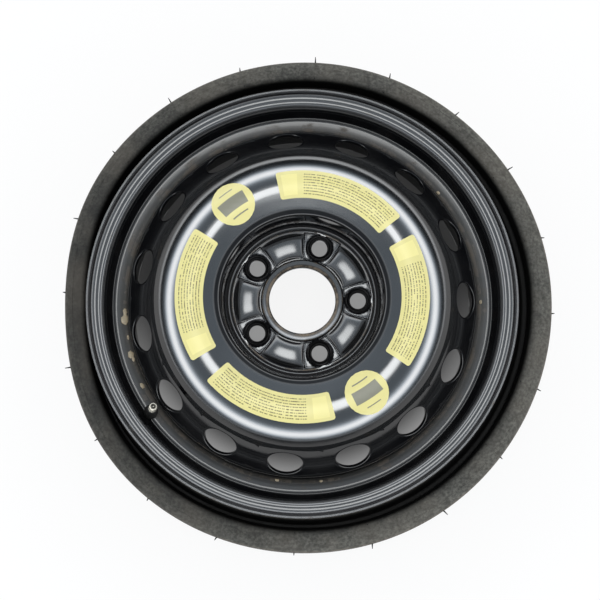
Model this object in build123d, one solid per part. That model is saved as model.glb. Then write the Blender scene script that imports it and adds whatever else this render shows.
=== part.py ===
from build123d import *
import math
import os

# Space saver spare wheel: a pressed steel wheel with a folded, deflated tyre, lying with its outer face up.
# +Z runs along the wheel's axis, out of the outer face. The origin lies on that axis, in the plane of the
# hub mounting face. Sections are drawn with the radius as x and the height as y, in millimetres.

# Rim band
BEAD_SEAT_D = 405.6
RIM_WIDTH = 101.6
RIM_OFFSET = 48.5
RIM_SHEET = 2.4
FLANGE_HEIGHT = 14.1
LIP_REACH = 10.0
LIP_BEND_R = 8.0
HEEL_BEND_R = 6.0
SEAT_WIDTH = 17.3
SEAT_TAPER = 5.0
LEDGE_BEND_R = 7.4
LEDGE_LEAN = 13.0
WELL_DEPTH = 23.5
WELL_WIDTH = 26.0
WELL_BEND_R = 2.6
RAMP_BEND_R = 10.0
SHEET_EDGE_R = 0.8

# Wheel disc
DISC_SHEET = 3.8
BORE_D = 66.6
COLLAR_SETBACK = 4.2
COLLAR_WIDTH = 4.6
COLLAR_HEIGHT = 2.6
RIDGE_R = 70.6
RIDGE_WIDTH = 4.6
RIDGE_HEIGHT = 2.2
WALL_SETBACK = 2.4
WALL_FOOT_BEND_R = 7.0
CROWN_R = 113.0
CROWN_WIDTH = 30.0
CROWN_Z = 45.0
CROWN_INNER_SHARE = 0.35
CROWN_OUTER_SHARE = 0.62
SHOULDER_DROP = 50.6
SKIRT_BEND_R = 6.0
SKIRT_OVERLAP = 21.0
SKIRT_FIT = 0.05

# Wheel bolt seats and the raised pads between them
BOLT_COUNT = 5
BOLT_CIRCLE_D = 112.0
BOLT_HOLE_D = 16.0
BOLT_HOLE_LAND = 1.5
SEAT_BALL_R = 13.0
BOSS_HEIGHT = 3.0
BOSS_RIM = 1.6
BOSS_DRAFT = 25.0
PAD_HEIGHT = 5.2
PAD_WALL = 2.85
PAD_GAP = 1.6
PAD_DRAFT = 28.0
PAD_CORNER_SHARE = 0.175
PAD_TOP_R = 2.6

# Vent holes in the disc's outer slope
VENT_COUNT = 15
VENT_LENGTH = 35.6
VENT_HEIGHT = 29.0
VENT_SETBACK = 12.8

# Weld beads between the disc's skirt and the rim
WELD_COUNT = 5
WELD_ARC_ANGLE = 40.0
WELD_LEG = 4.0
WELD_BULGE = 0.5
WELD_FIT = 0.02

# Tyre, folded inward at both sides
TYRE_WALL = 6.6
BEAD_FIT = 0.1
BEAD_WIDTH = 13.5
BEAD_HEIGHT = 10.0
BEAD_TOE = 2.5
FOLD_GAP = 4.5
FOLD_DEPTH = 27.0
FOLD_LEAN = 6.0
FOLD_FLAT = 0.2
CREST_RISE = 11.1
CREST_SETBACK = 2.5
CREST_BEND_R = 5.5
SHOULDER_FALL = 8.5
SHOULDER_BEND_R = 9.0
TREAD_RISE = 35.6
TREAD_WIDTH = 66.0
TREAD_CROWN = 1.2
TREAD_DEPTH = 6.0
GROOVE_COUNT = 4
GROOVE_PITCH = 13.0
GROOVE_WIDTH = 4.6
GROOVE_DEPTH = 4.2

# Snap-in valve in the rim's front ledge
VALVE_ANGLE = 216.0
VALVE_SETBACK = 10.1
VALVE_HOLE_D = 11.5
VALVE_FIT = 0.1
BODY_FOOT_D = 14.4
BODY_FOOT_HEIGHT = 5.0
BODY_SKIRT_D = 14.0
BODY_SKIRT_HEIGHT = 7.0
BODY_TOP_D = 9.6
BODY_HEIGHT = 20.0
BODY_EDGE_R = 1.0
STEM_THREAD_D = 7.7
STEM_SHANK_D = 6.0
STEM_TIP = 32.0
STEM_EDGE = 0.5
STEM_LOWER_BORE_D = 4.2
STEM_FIT = 0.03

# Valve core, from the tip down
CORE_BORE_D = 5.4
CORE_BORE_DEPTH = 10.6
CORE_FIT = 0.05
PLUG_RECESS = 0.8
PLUG_HEIGHT = 6.6
PLUG_SLOT = 1.2
PLUG_SLOT_DEPTH = 1.6
AIRWAY_D = 2.1
FLANGE_T = 1.0
BARREL_D = 3.6
BARREL_WALL = 0.45
BARREL_LENGTH = 12.0
BARREL_FLOOR = 0.8
GASKET_WALL = 0.65
PIN_D = 1.1
PIN_RECESS = 0.3
COLLAR_D = 2.3
COLLAR_T = 0.7
COLLAR_DROP = 1.8
CUP_D = 3.3
CUP_HEIGHT = 2.2
CUP_GAP = 0.1
PIN_HEAD_D = 2.0
PIN_HEAD_T = 0.5
SPRING_WIRE_D = 0.3
SPRING_TURNS = 6
SPRING_END_GAP = 0.05

# Yellow film labels on the crown
LABEL_FILM = 0.15
LABEL_GAP = 0.2
LABEL_SHIFT = 1.6
LABEL_WIDTH = 27.6
LABEL_ARC_ANGLE = 63.3
LABEL_CORNER_SHARE = 0.09
LABEL_ANGLES = (70.7, 179.4, 253.5, 357.6)
ROUND_LABEL_D = 43.2
ROUND_LABEL_SHIFT = 1.0
ROUND_LABEL_ANGLES = (126.8, 303.4)

# Radii and heights that several pieces share
SEAT_R = BEAD_SEAT_D / 2
FLANGE_R = SEAT_R + FLANGE_HEIGHT
FLANGE_Z = RIM_WIDTH / 2 - RIM_OFFSET
WELL_R = SEAT_R - WELL_DEPTH
SEAT_END_R = SEAT_R - SEAT_WIDTH * math.tan(math.radians(SEAT_TAPER))
SEAT_END_Z = FLANGE_Z - SEAT_WIDTH
LEDGE_END_Z = SEAT_END_Z - (SEAT_END_R - WELL_R) * math.tan(math.radians(LEDGE_LEAN))
SKIRT_R = WELL_R - RIM_SHEET - SKIRT_FIT
SKIRT_END_Z = LEDGE_END_Z - SKIRT_OVERLAP
TREAD_R = FLANGE_R + TREAD_RISE
VALVE_R = WELL_R + VALVE_SETBACK
VENT_R = SKIRT_R - VENT_SETBACK
COLLAR_R = BORE_D / 2 + COLLAR_SETBACK + COLLAR_WIDTH / 2
BOLT_R = BOLT_CIRCLE_D / 2
BOSS_TOP_Z = DISC_SHEET + BOSS_HEIGHT


def polar(radius, angle):
    """Point at a radius and an angle in degrees."""
    return Vector(radius, 0).rotate(Axis.Z, angle)


def offset_corners(points, radii, distance):
    """Corner points and bend radii of the path that runs at a distance to the left of a bent path."""
    corners = [Vector(*point) for point in points]
    runs = [(end - start).normalized() for start, end in zip(corners, corners[1:])]
    lefts = [Vector(-run.Y, run.X) for run in runs]
    moved = [corners[0] + lefts[0] * distance]
    for corner, before, after in zip(corners[1:], lefts, lefts[1:]):
        moved.append(corner + (before + after) * (distance / (1 + before.dot(after))))
    moved.append(corners[-1] + lefts[-1] * distance)
    turns = [before.cross(after).Z for before, after in zip(runs, runs[1:])]
    bends = [radius - distance * math.copysign(1, turn) for radius, turn in zip(radii, turns)]
    return moved, bends


def bend_r(before, corner, after, reach):
    """Radius of the bend that starts and ends at a reach from its corner."""
    run_in = Vector(*corner) - Vector(*before)
    run_out = Vector(*after) - Vector(*corner)
    return reach / math.tan(math.radians(run_in.get_angle(run_out)) / 2)


def sheet_section(points, radii, start, end):
    """Section of a bent sheet between two distances to the left of a path."""
    near_points, near_radii = offset_corners(points, radii, start)
    far_points, far_radii = offset_corners(points, radii, end)
    near = FilletPolyline(*near_points, radius=near_radii)
    far = FilletPolyline(*far_points, radius=far_radii)
    return make_face([near, Line(near @ 1, far @ 1), far, Line(far @ 0, near @ 0)])


def turned(section, arc=360):
    """Solid of revolution of a section about the wheel's axis or a valve piece's own axis."""
    return revolve(Plane.XZ * section, Axis.Z, arc)


def turned_profile(*points):
    """Solid of revolution of a straight-sided section."""
    return turned(make_face(Polyline(*points, close=True)))


def tube(outer_d, inner_d, bottom, top):
    """Plain tube about the local axis."""
    outer, inner = outer_d / 2, inner_d / 2
    return turned_profile((inner, bottom), (outer, bottom), (outer, top), (inner, top))


def rod(diameter, bottom, top):
    """Plain round rod about the local axis."""
    standing = (Align.CENTER, Align.CENTER, Align.MIN)
    return Pos(0, 0, bottom) * Cylinder(diameter / 2, top - bottom, align=standing)


def ring_sector(inner_r, outer_r, arc, corner_share):
    """Flat ring sector about the X axis, with corners rounded by a share of its width."""
    sector = make_face([
        CenterArc((0, 0), inner_r, -arc / 2, arc),
        CenterArc((0, 0), outer_r, -arc / 2, arc),
        Line(polar(inner_r, -arc / 2), polar(outer_r, -arc / 2)),
        Line(polar(inner_r, arc / 2), polar(outer_r, arc / 2)),
    ])
    return fillet(sector.vertices(), (outer_r - inner_r) * corner_share)


def rim_path():
    """Tyre side of the rim from the front lip to the rear lip, with the bend at each corner."""
    rear_z = FLANGE_Z - RIM_WIDTH
    points = [
        (FLANGE_R, FLANGE_Z + LIP_REACH),
        (FLANGE_R, FLANGE_Z),
        (SEAT_R, FLANGE_Z),
        (SEAT_END_R, SEAT_END_Z),
        (WELL_R, LEDGE_END_Z),
        (WELL_R, LEDGE_END_Z - WELL_WIDTH),
        (SEAT_END_R, rear_z + SEAT_WIDTH),
        (SEAT_R, rear_z),
        (FLANGE_R, rear_z),
        (FLANGE_R, rear_z - LIP_REACH),
    ]
    radii = [
        LIP_BEND_R, HEEL_BEND_R, LEDGE_BEND_R, WELL_BEND_R, RAMP_BEND_R, RAMP_BEND_R, HEEL_BEND_R, LIP_BEND_R,
    ]
    return points, radii


def valve_plane():
    """Plane of the valve: origin on the ledge's front face, z along the valve, out of the rim."""
    lean = math.radians(LEDGE_LEAN)
    ledge_z = SEAT_END_Z - (SEAT_END_R - VALVE_R) * math.tan(lean) + RIM_SHEET / math.cos(lean)
    seat = polar(VALVE_R, VALVE_ANGLE) + Vector(0, 0, ledge_z)
    inward = polar(1, VALVE_ANGLE + 180)
    direction = inward * math.sin(lean) + Vector(0, 0, math.cos(lean))
    return Plane(seat, x_dir=polar(1, VALVE_ANGLE + 90), z_dir=direction)


def make_rim():
    """Rolled rim band with rounded lip edges and the valve hole."""
    points, radii = rim_path()
    section = sheet_section(points, radii, -RIM_SHEET, 0)
    tips = section.vertices().group_by(Axis.Y)
    section = fillet(tips[0] + tips[-1], SHEET_EDGE_R)
    drill = rod(VALVE_HOLE_D, -2 * RIM_SHEET, RIM_SHEET)
    return turned(section) - valve_plane() * drill


def disc_path():
    """Front face of the wheel disc from the bore to the skirt's edge, with the bend at each corner."""
    points = [
        (BORE_D / 2, DISC_SHEET),
        (RIDGE_R + RIDGE_WIDTH / 2 + WALL_SETBACK, DISC_SHEET),
        (CROWN_R - CROWN_WIDTH / 2, CROWN_Z),
        (CROWN_R + CROWN_WIDTH / 2, CROWN_Z),
        (SKIRT_R, CROWN_Z - SHOULDER_DROP),
        (SKIRT_R, SKIRT_END_Z),
    ]
    inner_bend = bend_r(*points[1:4], CROWN_WIDTH * CROWN_INNER_SHARE)
    outer_bend = bend_r(*points[2:5], CROWN_WIDTH * CROWN_OUTER_SHARE)
    return points, [WALL_FOOT_BEND_R, inner_bend, outer_bend, SKIRT_BEND_R]


def hub_ridge():
    """Raised ridge at the outer edge of the hub land."""
    half = RIDGE_WIDTH / 2
    base, top = DISC_SHEET / 2, DISC_SHEET + RIDGE_HEIGHT
    arc = ThreePointArc((RIDGE_R - half, DISC_SHEET), (RIDGE_R, top), (RIDGE_R + half, DISC_SHEET))
    foot = Polyline(arc @ 1, (RIDGE_R + half, base), (RIDGE_R - half, base), arc @ 0)
    return turned(make_face([arc, foot]))


def bore_collar():
    """Raised lip round the bore, sloping down to the bore's edge."""
    bore_r, base, top = BORE_D / 2, DISC_SHEET / 2, DISC_SHEET + COLLAR_HEIGHT
    inner, outer = COLLAR_R - COLLAR_WIDTH / 2, COLLAR_R + COLLAR_WIDTH / 2
    slope = Polyline((bore_r, base), (bore_r, DISC_SHEET), (inner, (DISC_SHEET + top) / 2))
    arc = ThreePointArc((inner, (DISC_SHEET + top) / 2), (COLLAR_R, top), (outer, DISC_SHEET))
    foot = Polyline((outer, DISC_SHEET), (outer, base), (bore_r, base))
    return turned(make_face([slope, arc, foot]))


def pad_outline(margin):
    """Outline of the first raised pad, between two bolts, drawn in by a margin."""
    inner_r = COLLAR_R + COLLAR_WIDTH / 2 + PAD_GAP + margin
    outer_r = RIDGE_R - RIDGE_WIDTH / 2 - PAD_GAP - margin
    boss_foot_r = seat_mouth_r() + BOSS_RIM + BOSS_HEIGHT * math.tan(math.radians(BOSS_DRAFT))
    reach = boss_foot_r + PAD_GAP + margin
    arc = 360 / BOLT_COUNT - 2 * math.degrees(math.asin(reach / BOLT_R))
    return Rot(0, 0, 180 / BOLT_COUNT) * ring_sector(inner_r, outer_r, arc, PAD_CORNER_SHARE)


def drafted_pad(margin, bottom, top):
    """Block on a pad's outline between two heights, its sides leaning in by the draft."""
    lean = (top - bottom) * math.tan(math.radians(PAD_DRAFT))
    foot = Pos(0, 0, bottom) * pad_outline(margin)
    return loft([foot, Pos(0, 0, top) * pad_outline(margin + lean)], ruled=True)


def make_pads():
    """Raised pads between the bolts, and the pockets behind them."""
    pad = drafted_pad(0, DISC_SHEET / 2, DISC_SHEET + PAD_HEIGHT)
    pad = fillet(pad.faces().sort_by(Axis.Z)[-1].edges(), PAD_TOP_R)
    pocket = drafted_pad(PAD_WALL, 0, PAD_HEIGHT)
    turns = [Rot(0, 0, 360 / BOLT_COUNT * index) for index in range(BOLT_COUNT)]
    return [turn * pad for turn in turns], [turn * pocket for turn in turns]


def seat_mouth_r():
    """Radius of a bolt's ball seat where it opens at the top of its boss."""
    ball_z = BOLT_HOLE_LAND + math.sqrt(SEAT_BALL_R**2 - (BOLT_HOLE_D / 2) ** 2)
    return math.sqrt(SEAT_BALL_R**2 - (ball_z - BOSS_TOP_Z) ** 2)


def make_bolt_seats():
    """Bosses of the bolt seats, and what is cut from them: the ball seats and the bolt holes."""
    top_r = seat_mouth_r() + BOSS_RIM
    height = BOSS_HEIGHT + DISC_SHEET / 2
    foot_r = top_r + height * math.tan(math.radians(BOSS_DRAFT))
    boss = Pos(0, 0, BOSS_TOP_Z - height / 2) * Cone(foot_r, top_r, height)
    ball_z = BOLT_HOLE_LAND + math.sqrt(SEAT_BALL_R**2 - (BOLT_HOLE_D / 2) ** 2)
    cut = Pos(0, 0, ball_z) * Sphere(SEAT_BALL_R) + rod(BOLT_HOLE_D, -DISC_SHEET, BOSS_TOP_Z)
    places = [Pos(*polar(BOLT_R, 360 / BOLT_COUNT * index)) for index in range(BOLT_COUNT)]
    return [place * boss for place in places], [place * cut for place in places]


def make_vents():
    """Cutters of the oval vent holes, square to the disc's outer slope."""
    top, foot = (Vector(*point) for point in disc_path()[0][3:5])
    slope = (foot - top).normalized()
    height = top.Y + (VENT_R - top.X) * slope.Y / slope.X
    plane = Plane((VENT_R, 0, height), x_dir=(0, 1, 0), z_dir=(-slope.Y, 0, slope.X))
    cutter = extrude(plane * Ellipse(VENT_LENGTH / 2, VENT_HEIGHT / 2), 3 * DISC_SHEET, both=True)
    return [Rot(0, 0, 360 / VENT_COUNT * index) * cutter for index in range(VENT_COUNT)]


def make_disc():
    """Pressed wheel disc with its hub land, bolt seats, pads, crown, vents and skirt."""
    points, radii = disc_path()
    section = sheet_section(points, radii, -DISC_SHEET, 0)
    pads, pockets = make_pads()
    bosses, seats = make_bolt_seats()
    disc = turned(section) + hub_ridge() + bore_collar() + pads + bosses
    return disc - pockets - seats - make_vents()


def make_welds():
    """Weld beads in the corner between the skirt's rear edge and the rim's well."""
    corner = Vector(SKIRT_R + SKIRT_FIT - WELD_FIT, SKIRT_END_Z - WELD_FIT)
    inner, lower = corner - (WELD_LEG, 0), corner - (0, WELD_LEG)
    bulge = (inner + lower) / 2 - Vector(1, 1).normalized() * WELD_BULGE
    section = make_face([Polyline(inner, corner, lower), ThreePointArc(lower, bulge, inner)])
    bead = turned(section, WELD_ARC_ANGLE)
    return [Rot(0, 0, 360 / WELD_COUNT * index) * bead for index in range(WELD_COUNT)]


def tyre_half():
    """Front half of the tyre's section, with the rim's centre plane at height 0."""
    half_wall = TYRE_WALL / 2
    flange_w = RIM_WIDTH / 2 - BEAD_FIT
    base_r = SEAT_R + BEAD_FIT
    bead_top_r = base_r + BEAD_HEIGHT
    crest_w = RIM_WIDTH / 2 - CREST_SETBACK - half_wall
    root_w = crest_w + half_wall - FOLD_DEPTH
    upper_r = FLANGE_R + CREST_RISE + half_wall
    root_r = upper_r - TYRE_WALL - FOLD_GAP
    lower_w = flange_w - half_wall
    shoulder_r = TREAD_R - TREAD_CROWN - half_wall
    turn_r = (TYRE_WALL + FOLD_GAP - FOLD_FLAT) / 2
    points = [
        (base_r + HEEL_BEND_R, lower_w),
        (root_r - FOLD_LEAN, lower_w),
        (root_r, root_w),
        (upper_r, root_w),
        (upper_r, crest_w),
        (shoulder_r, crest_w - SHOULDER_FALL),
        (shoulder_r + TREAD_CROWN, 0),
    ]
    radii = [CREST_BEND_R, turn_r, turn_r, CREST_BEND_R, SHOULDER_BEND_R]
    wall = sheet_section(points, radii, -half_wall, half_wall)
    toe_r = base_r - BEAD_WIDTH * math.tan(math.radians(SEAT_TAPER))
    heel_r = HEEL_BEND_R + BEAD_FIT
    toe_w = flange_w - BEAD_WIDTH
    heel = FilletPolyline((bead_top_r, flange_w), (base_r, flange_w), (toe_r, toe_w), radius=heel_r)
    toe = Polyline(heel @ 1, (toe_r + BEAD_TOE, toe_w), (bead_top_r, lower_w - half_wall))
    bead = make_face([heel, toe, Line(toe @ 1, heel @ 0)])
    tread_edge = TREAD_WIDTH / 2
    edge_r, floor_r = TREAD_R - TREAD_CROWN, TREAD_R - TREAD_DEPTH
    crown = ThreePointArc((edge_r, tread_edge), (TREAD_R - TREAD_CROWN / 4, tread_edge / 2), (TREAD_R, 0))
    floor = Polyline(crown @ 1, (floor_r, 0), (floor_r, tread_edge), crown @ 0)
    tread = make_face([crown, floor])
    return wall + bead + tread


def make_tyre():
    """Folded tyre in one piece, with its beads, folds and tread grooves."""
    half = tyre_half()
    section = half + mirror(half, Plane.XZ)
    first = -GROOVE_PITCH * (GROOVE_COUNT - 1) / 2
    for index in range(GROOVE_COUNT):
        groove = Rectangle(2 * GROOVE_DEPTH, GROOVE_WIDTH)
        section -= Pos(TREAD_R, first + GROOVE_PITCH * index) * groove
    return turned(Pos(0, -RIM_OFFSET) * section)


def make_valve_body():
    """Rubber body that grips the rim's ledge at its neck."""
    bore, neck = STEM_SHANK_D / 2 + STEM_FIT, VALVE_HOLE_D / 2 - VALVE_FIT
    foot_top = -RIM_SHEET - VALVE_FIT
    foot_r, skirt_r, top_r = BODY_FOOT_D / 2, BODY_SKIRT_D / 2, BODY_TOP_D / 2
    section = make_face(Polyline(
        (bore, foot_top - BODY_FOOT_HEIGHT),
        (foot_r, foot_top - BODY_FOOT_HEIGHT),
        (foot_r, foot_top),
        (neck, foot_top),
        (neck, VALVE_FIT),
        (skirt_r, VALVE_FIT),
        (skirt_r, BODY_SKIRT_HEIGHT),
        (top_r, BODY_HEIGHT),
        (bore, BODY_HEIGHT),
        close=True,
    ))
    outer_corners = section.vertices().filter_by(lambda corner: corner.X > top_r - BODY_EDGE_R)
    rounded = outer_corners.filter_by(lambda corner: abs(corner.X - neck) > BODY_EDGE_R / 2)
    return turned(fillet(rounded, BODY_EDGE_R))


def make_stem():
    """Brass stem tube: thin shank in the rubber, thick threaded tip, stepped bore for the core."""
    foot = -RIM_SHEET - VALVE_FIT - BODY_FOOT_HEIGHT
    thread_foot = BODY_HEIGHT + VALVE_FIT
    shank, thread = STEM_SHANK_D / 2, STEM_THREAD_D / 2
    lower, upper = STEM_LOWER_BORE_D / 2, CORE_BORE_D / 2
    step = STEM_TIP - CORE_BORE_DEPTH
    return turned_profile(
        (lower, foot),
        (shank, foot),
        (shank, thread_foot),
        (thread, thread_foot),
        (thread, STEM_TIP - STEM_EDGE),
        (thread - STEM_EDGE, STEM_TIP),
        (upper, STEM_TIP),
        (upper, step),
        (lower, step),
    )


def make_core():
    """Valve core pieces by name: plug, barrel, gasket, and the pin, cup and spring that shut it."""
    plug_d = CORE_BORE_D - 2 * CORE_FIT
    plug_top = STEM_TIP - PLUG_RECESS
    plug_foot = plug_top - PLUG_HEIGHT
    slot = Pos(0, 0, plug_top) * Box(plug_d, PLUG_SLOT, 2 * PLUG_SLOT_DEPTH)
    plug = tube(plug_d, AIRWAY_D, plug_foot, plug_top) - slot

    flange_top = plug_foot - CORE_FIT
    flange_foot = flange_top - FLANGE_T
    barrel_foot = flange_top - BARREL_LENGTH
    barrel_bore = BARREL_D - 2 * BARREL_WALL
    flange = tube(plug_d, barrel_bore, flange_foot, flange_top)
    barrel = flange + tube(BARREL_D, barrel_bore, barrel_foot, flange_top)
    barrel += tube(BARREL_D, AIRWAY_D, barrel_foot, barrel_foot + BARREL_FLOOR)

    gasket_d = BARREL_D + 2 * CORE_FIT + 2 * GASKET_WALL
    gasket_foot = STEM_TIP - CORE_BORE_DEPTH + CORE_FIT
    gasket = tube(gasket_d, BARREL_D + 2 * CORE_FIT, gasket_foot, flange_foot - CORE_FIT)

    cup_top = barrel_foot - CUP_GAP
    cup_foot = cup_top - CUP_HEIGHT
    cup = tube(CUP_D, PIN_D + 2 * CORE_FIT, cup_foot, cup_top)
    head_top = cup_foot - CORE_FIT
    collar_top = flange_top - COLLAR_DROP
    collar_foot = collar_top - COLLAR_T
    pin = rod(PIN_D, head_top - PIN_HEAD_T, STEM_TIP - PIN_RECESS)
    pin += rod(COLLAR_D, collar_foot, collar_top)
    pin += rod(PIN_HEAD_D, head_top - PIN_HEAD_T, head_top)

    wire_r = SPRING_WIRE_D / 2
    coil_r = (PIN_D + barrel_bore) / 4
    coil_foot = barrel_foot + BARREL_FLOOR + wire_r + SPRING_END_GAP
    coil_height = collar_foot - wire_r - SPRING_END_GAP - coil_foot
    helix = Helix(coil_height / SPRING_TURNS, coil_height, coil_r)
    wire = Plane(helix @ 0, z_dir=helix % 0) * Circle(wire_r)
    spring = Pos(0, 0, coil_foot) * sweep(wire, path=helix, is_frenet=True)
    return {
        "core_plug": plug,
        "core_barrel": barrel,
        "core_gasket": gasket,
        "core_cup": cup,
        "core_pin": pin,
        "core_spring": spring,
    }


def make_labels():
    """Film labels cut from one thin skin that follows the crown."""
    points, radii = disc_path()
    skin = turned(sheet_section(points, radii, LABEL_GAP, LABEL_GAP + LABEL_FILM))
    tall = 2 * CROWN_Z
    middle = CROWN_R - LABEL_SHIFT
    inner_r, outer_r = middle - LABEL_WIDTH / 2, middle + LABEL_WIDTH / 2
    arc_cutter = extrude(ring_sector(inner_r, outer_r, LABEL_ARC_ANGLE, LABEL_CORNER_SHARE), tall)
    labels = {}
    for index, angle in enumerate(LABEL_ANGLES, 1):
        labels[f"label_arc_{index}"] = skin & (Rot(0, 0, angle) * arc_cutter)
    for index, angle in enumerate(ROUND_LABEL_ANGLES, 1):
        place = Pos(*polar(CROWN_R + ROUND_LABEL_SHIFT, angle))
        labels[f"label_round_{index}"] = skin & (place * rod(ROUND_LABEL_D, 0, tall))
    return labels


def make_pieces():
    """Every piece of the wheel by its name."""
    valve = {"valve_body": make_valve_body(), "valve_stem": make_stem(), **make_core()}
    pieces = {"rim": make_rim(), "wheel_disc": make_disc(), "disc_welds": make_welds(), "tyre": make_tyre()}
    pieces.update({name: valve_plane() * piece for name, piece in valve.items()})
    pieces.update(make_labels())
    return pieces


os.makedirs("parts", exist_ok=True)
for name, piece in make_pieces().items():
    groups = piece if isinstance(piece, list) else [piece]
    solids = [solid for group in groups for solid in group.solids()]
    export_step(Compound(children=solids), f"parts/{name}.step")
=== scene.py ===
import math

import bmesh
import bpy
import numpy as np
from bpy.props import FloatProperty, FloatVectorProperty, IntProperty, PointerProperty
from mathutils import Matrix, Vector


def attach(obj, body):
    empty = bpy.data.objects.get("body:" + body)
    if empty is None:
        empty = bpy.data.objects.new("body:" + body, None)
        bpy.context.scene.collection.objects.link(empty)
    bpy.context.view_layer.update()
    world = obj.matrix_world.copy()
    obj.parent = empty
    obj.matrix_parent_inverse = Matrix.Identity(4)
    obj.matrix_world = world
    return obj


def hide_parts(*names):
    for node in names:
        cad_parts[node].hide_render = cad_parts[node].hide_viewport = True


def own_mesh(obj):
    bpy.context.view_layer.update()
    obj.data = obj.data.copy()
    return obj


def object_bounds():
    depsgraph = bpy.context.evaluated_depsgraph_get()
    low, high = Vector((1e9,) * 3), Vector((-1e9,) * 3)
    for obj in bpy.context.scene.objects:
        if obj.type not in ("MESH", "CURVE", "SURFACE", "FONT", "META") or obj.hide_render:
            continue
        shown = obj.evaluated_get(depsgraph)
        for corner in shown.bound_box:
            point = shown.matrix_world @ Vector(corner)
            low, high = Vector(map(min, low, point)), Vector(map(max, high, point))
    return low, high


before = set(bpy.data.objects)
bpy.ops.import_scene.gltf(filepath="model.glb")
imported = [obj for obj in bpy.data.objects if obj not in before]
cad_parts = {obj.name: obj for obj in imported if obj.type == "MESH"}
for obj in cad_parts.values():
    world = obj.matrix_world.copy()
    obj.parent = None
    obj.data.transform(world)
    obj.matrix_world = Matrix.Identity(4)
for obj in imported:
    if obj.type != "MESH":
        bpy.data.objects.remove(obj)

bl_info = {
    "name": "Spare wheel looks",
    "version": (1, 0, 0),
    "blender": (4, 5, 0),
    "location": "3D View > Sidebar > Spare Wheel",
    "description": "Painted steel, folded tyre, valve, film labels and stage of a temporary spare wheel",
    "category": "Add Mesh",
}

CAD_BOX = [list(corner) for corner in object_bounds()]
MM = 0.001
STEPS = 360
TURNED_OVER = [0, 3, 2, 1]

# Section of the rim's tyre side from front to rear lip, as radius and height in millimetres, and its bends.
RIM_PATH = [(216.9, 12.3), (216.9, 0.6), (203.2, 3.5), (201.4, -10.5), (194.2, -18.9), (190.0, -17.5),
            (179.3, -20.076), (179.3, -46.076), (201.286, -82.0), (202.8, -99.3), (216.9, -99.3),
            (216.9, -109.3)]
RIM_BENDS = [8.6, 2.4, 6.0, 4.0, 3.0, 2.6, 10.0, 10.0, 6.0, 8.0]
RIM_SHEET = 2.4
LIP_EDGE, LIP_ANGLES = 0.8, (36, 72, 108, 144)

# Front face of the wheel disc from the bore to the skirt's edge.
DISC_PATH = [(33.3, 3.8), (75.3, 3.8), (81.0, 38.4), (107.5, 45.0), (130.0, 45.0), (176.85, -5.6),
             (176.85, -41.076)]
DISC_BENDS = [4.7, 5.0, 30.5, 42.4, 6.0]
DISC_SHEET = 3.8
DISC_SHARP = math.radians(42)
HUB_END, HUB_STEP, HUB_MARGIN, HUB_FADE = 71.2, 0.95, 6.0, 3.0

# Hub land: bore collar, ridge, ball seats with their bosses, raised pads, and how softly they run together.
COLLAR = {"r": 39.8, "width": 4.6, "height": 2.6, "fall": 0.4}
RIDGE = {"r": 70.6, "width": 4.6, "height": 2.2}
BOLTS = {"count": 5, "r": 56.0, "hole": 8.0, "ball": 13.0, "land": 1.5, "boss": 3.0, "rim": 0.6,
         "draft": 25.0, "highest": 8.0, "clear": 20.0, "band": (42.9, 69.1), "spread": 16,
         "shares": (0, 0.2, 0.4, 0.6, 0.8),
         "patch": (12.95, 12.65, 12.35, 12.05, 11.7, 11.2, 10.5, 9.7, 9.0, 8.4, 8.0)}
PAD = {"inner": 43.7, "outer": 66.7, "half_angle": 18.76, "swell": 0.6, "height": 5.2, "dome": -0.2,
       "wall": 2.85, "across": 2.4, "along": 3.2}
HUB_BLENDS = {"ring": 0.5, "pad": 2.4, "boss": 1.2, "seat": 0.8}

# Vent holes in the outer slope, and the rings of points from a sector's edge to its hole.
VENT = {"count": 15, "length": 35.6, "height": 29.0, "r": 164.05, "edge": 0.9, "top": 150.0, "foot": 174.95,
        "side_steps": 12, "rings": (0.0, 0.28, 0.54, 0.76, 0.91, 1.0), "ease": 0.29}

# Front half of the tyre about the rim's centre plane: middle of its wall, its skin, tread and moulding line.
TYRE_PATH = [(205.6, 47.4), (214.2, 47.4), (220.2, 21.3), (231.3, 21.3), (231.3, 45.0), (248.0, 36.5),
             (248.6, 20.0)]
TYRE_BENDS = [5.5, 5.44, 5.44, 5.5, 9.0]
TYRE_SKIN = [(205.6, 50.7), (216.83, 50.7), (222.83, 24.6), (228.0, 24.6), (228.0, 47.6), (251.23, 38.55),
             (251.9, 20.0)]
SKIN_BENDS = [8.8, 2.14, 2.14, 4.5, 8.0]
TYRE_WALL = 6.6
RIM_MIDDLE = -48.5
TREAD = {"r": 252.5, "crown": 1.2, "half": 33.0, "groove": 4.6, "depth": 4.2, "places": (19.5, 6.5),
         "draft": 0.5, "bend": 0.6, "gap": 0.6, "shoulder": 10.0}
MOULD_LINE_R = 243.0
MOULD_LINE = [(-0.9, 0), (-0.45, 0.3), (0, 0.42), (0.45, 0.3), (0.9, 0)]
# Fold's painted shade: the radius inside which it lies, the height over the centre plane where it ends, and
# its fade.
FOLD_R, FOLD_EDGE, FOLD_FADE = 233.0, 43.5, 2.5

# Lie of the tyre: where it leaves the rim, its swellings as height, angle and spread, and its ripple.
FREE_R, FREE_RUN = 218.0, 10.0
DENT_SPREAD = 17.0
SWELLINGS = [(1.0, 100.0, 22.0), (1.0, 240.0, 22.0)]
RIPPLE, RIPPLE_WAVES, RIPPLE_START = 0.35, 5, 40.0

# Moulding hairs: radius, height over the rim's centre plane and lean outwards and upwards of each ring.
HAIR_RINGS = [(251.0, 35.0, 0.96, 0.28), (231.0, 47.6, -0.4, 0.9)]
HAIR_START, HAIR_SWING, STUB_LENGTH = -2.5, 0.3, 0.0012

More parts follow.
